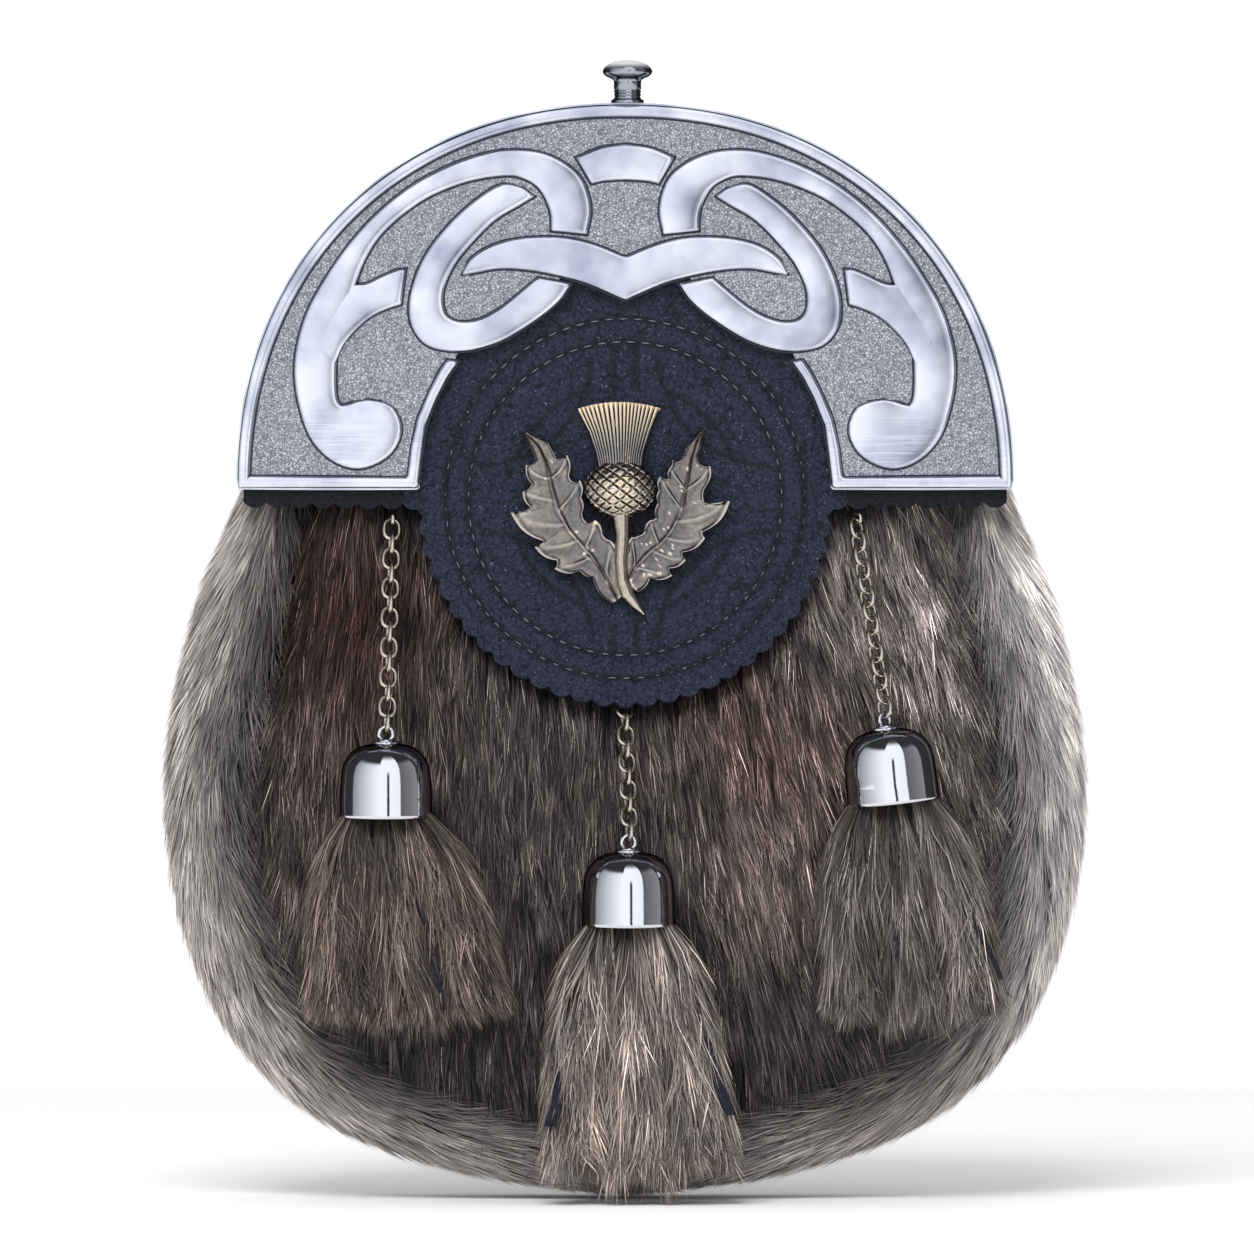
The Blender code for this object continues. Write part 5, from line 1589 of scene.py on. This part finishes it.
NAVY_HIDE = pressed_leather("navy dyed hide", "#0a0d16", "#161a29", "#2a3040", 0.8)
TASSEL_FUR = fur_look("tassel fur", 0.25, 1.2, 0.65)
for number, (side, top, foot, tip, half_wide, _) in enumerate(HANGING):
    chance = np.random.default_rng(31 + number)
    slivers = [sliver(*shape, foot, tip) for owner, *shape in SLIVERS if owner == side]
    top, foot, tip = (at(*place) for place in (top, foot, tip))
    place = hung(top, foot)
    bm = bmesh.new()
    middle = Matrix.Translation((0, 0, (HEAD_TOP + HEAD_FOOT) / 2 * MM))
    bmesh.ops.create_cone(
        bm, cap_ends=True, segments=32, radius1=HEAD_RADIUS * MM,
        radius2=(HEAD_RADIUS - HEAD_TAPER) * MM, depth=(HEAD_TOP - HEAD_FOOT) * MM,
        matrix=place @ middle,
    )
    rims = [edge for edge in bm.edges if edge.calc_face_angle(0) > 1]
    bmesh.ops.bevel(
        bm, geom=rims, offset=0.6 * MM, affect="EDGES", segments=2, profile=0.5, material=-1
    )
    finish(f"{side}_tassel_plug", bm, [NAVY_HIDE], [f"tassel_{side}"])
    base, streak, streak_share, dark = TASSEL_TONES[side]
    gathered = []
    for forward in (1.0, -1.0):
        for i in range(TASSEL_STRIPS):
            across = (i + 0.5) / TASSEL_STRIPS * 2 - 1
            spot = Vector((across * STRIP_ROOT_HALF, -STRIP_ROOT_Y * forward, HEAD_FOOT + 2.5))
            root = place @ (spot * MM)
            end = tip + Vector((across * half_wide, -TIP_ROW_Y * forward, abs(across) * 3.0)) * MM
            long = (end - root).length / MM
            bulge = np.array((across * TASSEL_BULGE, -forward * 0.6, 0.0))
            skin = strip_skin(np.array(root), np.array(end), half_wide, bulge)
            down = chance.random(TASSEL_HAIRS) ** 1.05 * 0.9
            turn = chance.random(TASSEL_HAIRS)
            reach = (12 + 8 * chance.random(TASSEL_HAIRS)) / long
            ragged = 0.97 + 0.12 * drift(turn * 22, down * 0 + i * 40, 3, 12.0 + forward)
            reach = np.minimum(reach, ragged + chance.uniform(-0.06, 0.05, TASSEL_HAIRS) - down)
            strokes = np.stack([reach, chance.normal(0, 0.02, TASSEL_HAIRS)], axis=1)
            roots = np.stack([down, turn], axis=1)
            strokes, tuft = gather(chance, roots, strokes, (long, 22.0), 3.0, 0.7, 0.06, 0.05)
            streaks = drift(turn * 30 + i * 40, down * 3, 4, 7.0 + number + forward)
            mix = (1 / (1 + np.exp(-6 * (streaks + streak_share - 0.5))))[:, None]
            tone = np.array(linear(base)) * (1 - mix) + np.array(linear(streak)) * mix
            locks = streaky(turn * 22, down * long + i * 90, 1.6, 8.0 + forward, 1.4)
            tone[:, :3] *= locks[:, None] * 0.94
            tone[chance.random(TASSEL_HAIRS) < 0.1] = linear(dark)
            gathered.append((skin, drawn_hairs(
                chance, roots, strokes, tuft, tone, -0.8, (1.7, 1.0), 0.7, (0.22, 0.14)
            )))
    hairs = {key: np.concatenate([some[key] for _, some in gathered]) for key in gathered[0][1]}

    def tassel_skin(places):
        """Each strip's hairs on their own strip, in the order that they were gathered."""
        parts = np.split(places, len(gathered))
        found = [skin(part) for (skin, _), part in zip(gathered, parts)]
        return [np.concatenate(group) for group in zip(*found)]

    replaced = [f"tassel_{side}"]
    grow_hair(f"{side}_tassel_fur", tassel_skin, hairs, TASSEL_FUR, replaced)
    thicken(finish(f"{side}_tassel_hide", joined(slivers), [NAVY_HIDE]), 0.8, 0.1)

# ---- Setting. A plain pale floor in a white room. What shines shows the room as a
# photographer's: a tall white screen in front with a narrow dark stand before it, a paler one
# on the left, a grey wall on the right and dark above. The camera looks straight ahead.

FLOOR_Z = -193.9
bm = bmesh.new()
bmesh.ops.create_grid(bm, x_segments=1, y_segments=1, size=0.6)
for vert in bm.verts:
    vert.co.z = FLOOR_Z * MM
FLOOR_PAINT = new_material("matt white floor")
feed(FLOOR_PAINT, {"Base Color": linear("#fcfcfc"), "Roughness": 0.9, "Specular IOR Level": 0.1})
data = bpy.data.meshes.new("floor")
bm.to_mesh(data)
bm.free()
data.materials.append(FLOOR_PAINT)
floor = put("floor", data)

SCREENS = (
    # left, right in degrees round from the front; foot, top as sines of height; brightness
    # at its left and at its right
    (-90.0, -16.0, -2.0, 0.66, 0.35, 1.5),
    (-16.0, 4.0, -2.0, 0.9, 1.5, 1.5),
    (4.0, 10.0, 0.3, 0.9, 1.5, 1.5),
    (10.0, 38.0, -2.0, 0.9, 1.5, 1.4),
    (38.0, 88.0, -2.0, 0.7, 0.14, 0.34),
)
SCREEN_SIDE, SCREEN_TOP = 0.03, 0.1  # how softly a screen ends at its sides and at its top
ROOM_DARK = 0.05
WALL_BRIGHT, ROOM_FILL = 1.08, 0.74  # the wall as the camera sees it, and as it lights

room = bpy.data.worlds.new("white room")
room.use_nodes = True
bpy.context.scene.world = room
direction = add(room, "TexCoord", {}).outputs["Generated"]
toward_x, toward_y, toward_z = add(room, "SeparateXYZ", {"Vector": direction}).outputs
round_about = calc(room, "ARCTAN2", toward_x, calc(room, "MULTIPLY", toward_y, -1.0))
bright = ROOM_DARK
for left, right, foot, top, *ends in SCREENS:
    sides = np.radians((left, right))
    share = ramp(room, round_about, sides, ends)
    for value, edges, soft in (
        (round_about, sides, SCREEN_SIDE), (toward_z, (foot, top), SCREEN_TOP)
    ):
        for edge, gives in zip(edges, (WHOLE, WHOLE[::-1])):
            over = (edge - soft, edge + soft)
            within = ramp(room, value, over, gives, interpolation_type="SMOOTHSTEP")
            share = calc(room, "MULTIPLY", within, share)
    bright = calc(room, "ADD", share, bright)
studio = add(room, "Background", {"Color": linear("#f3f5fb"), "Strength": bright})
white = room.node_tree.nodes["Background"]
ray = add(room, "LightPath", {}).outputs
seen = calc(room, "MULTIPLY_ADD", ray["Is Camera Ray"], WALL_BRIGHT - ROOM_FILL, ROOM_FILL)
feed(room, {"Color": linear("#ffffff"), "Strength": seen}, white)
both = add(room, "MixShader", {0: ray["Is Glossy Ray"], 1: white.outputs[0], 2: studio.outputs[0]})
feed(room, {"Surface": both.outputs[0]}, room.node_tree.nodes["World Output"])

KEY_PLACE, KEY_AIM = Vector((-0.35, -1.85, 1.5)), Vector((0.0, -0.02, -0.08))
data = bpy.data.lights.new("key_softbox", "AREA")
data.size, data.energy = 1.1, 46.0
key = put("key_softbox", data)
key.location = KEY_PLACE
key.rotation_euler = (KEY_AIM - KEY_PLACE).to_track_quat("-Z", "Y").to_euler()
key.visible_glossy = False

FRAME_WIDE = 267.0  # what the photograph's frame spans at the cantle
AWAY = 2.6  # metres from the camera to the cantle
FILM = 36.0
view = bpy.data.cameras.new("camera")
view.sensor_width = FILM
view.lens = FILM * AWAY / (FRAME_WIDE * MM)
camera = put("camera", view)
camera.location = (0.0004, -AWAY - 0.03, -0.0717)
camera.rotation_euler = (math.radians(90), 0.0, 0.0)
bpy.context.scene.camera = camera
bpy.context.scene.view_settings.view_transform = "Standard"
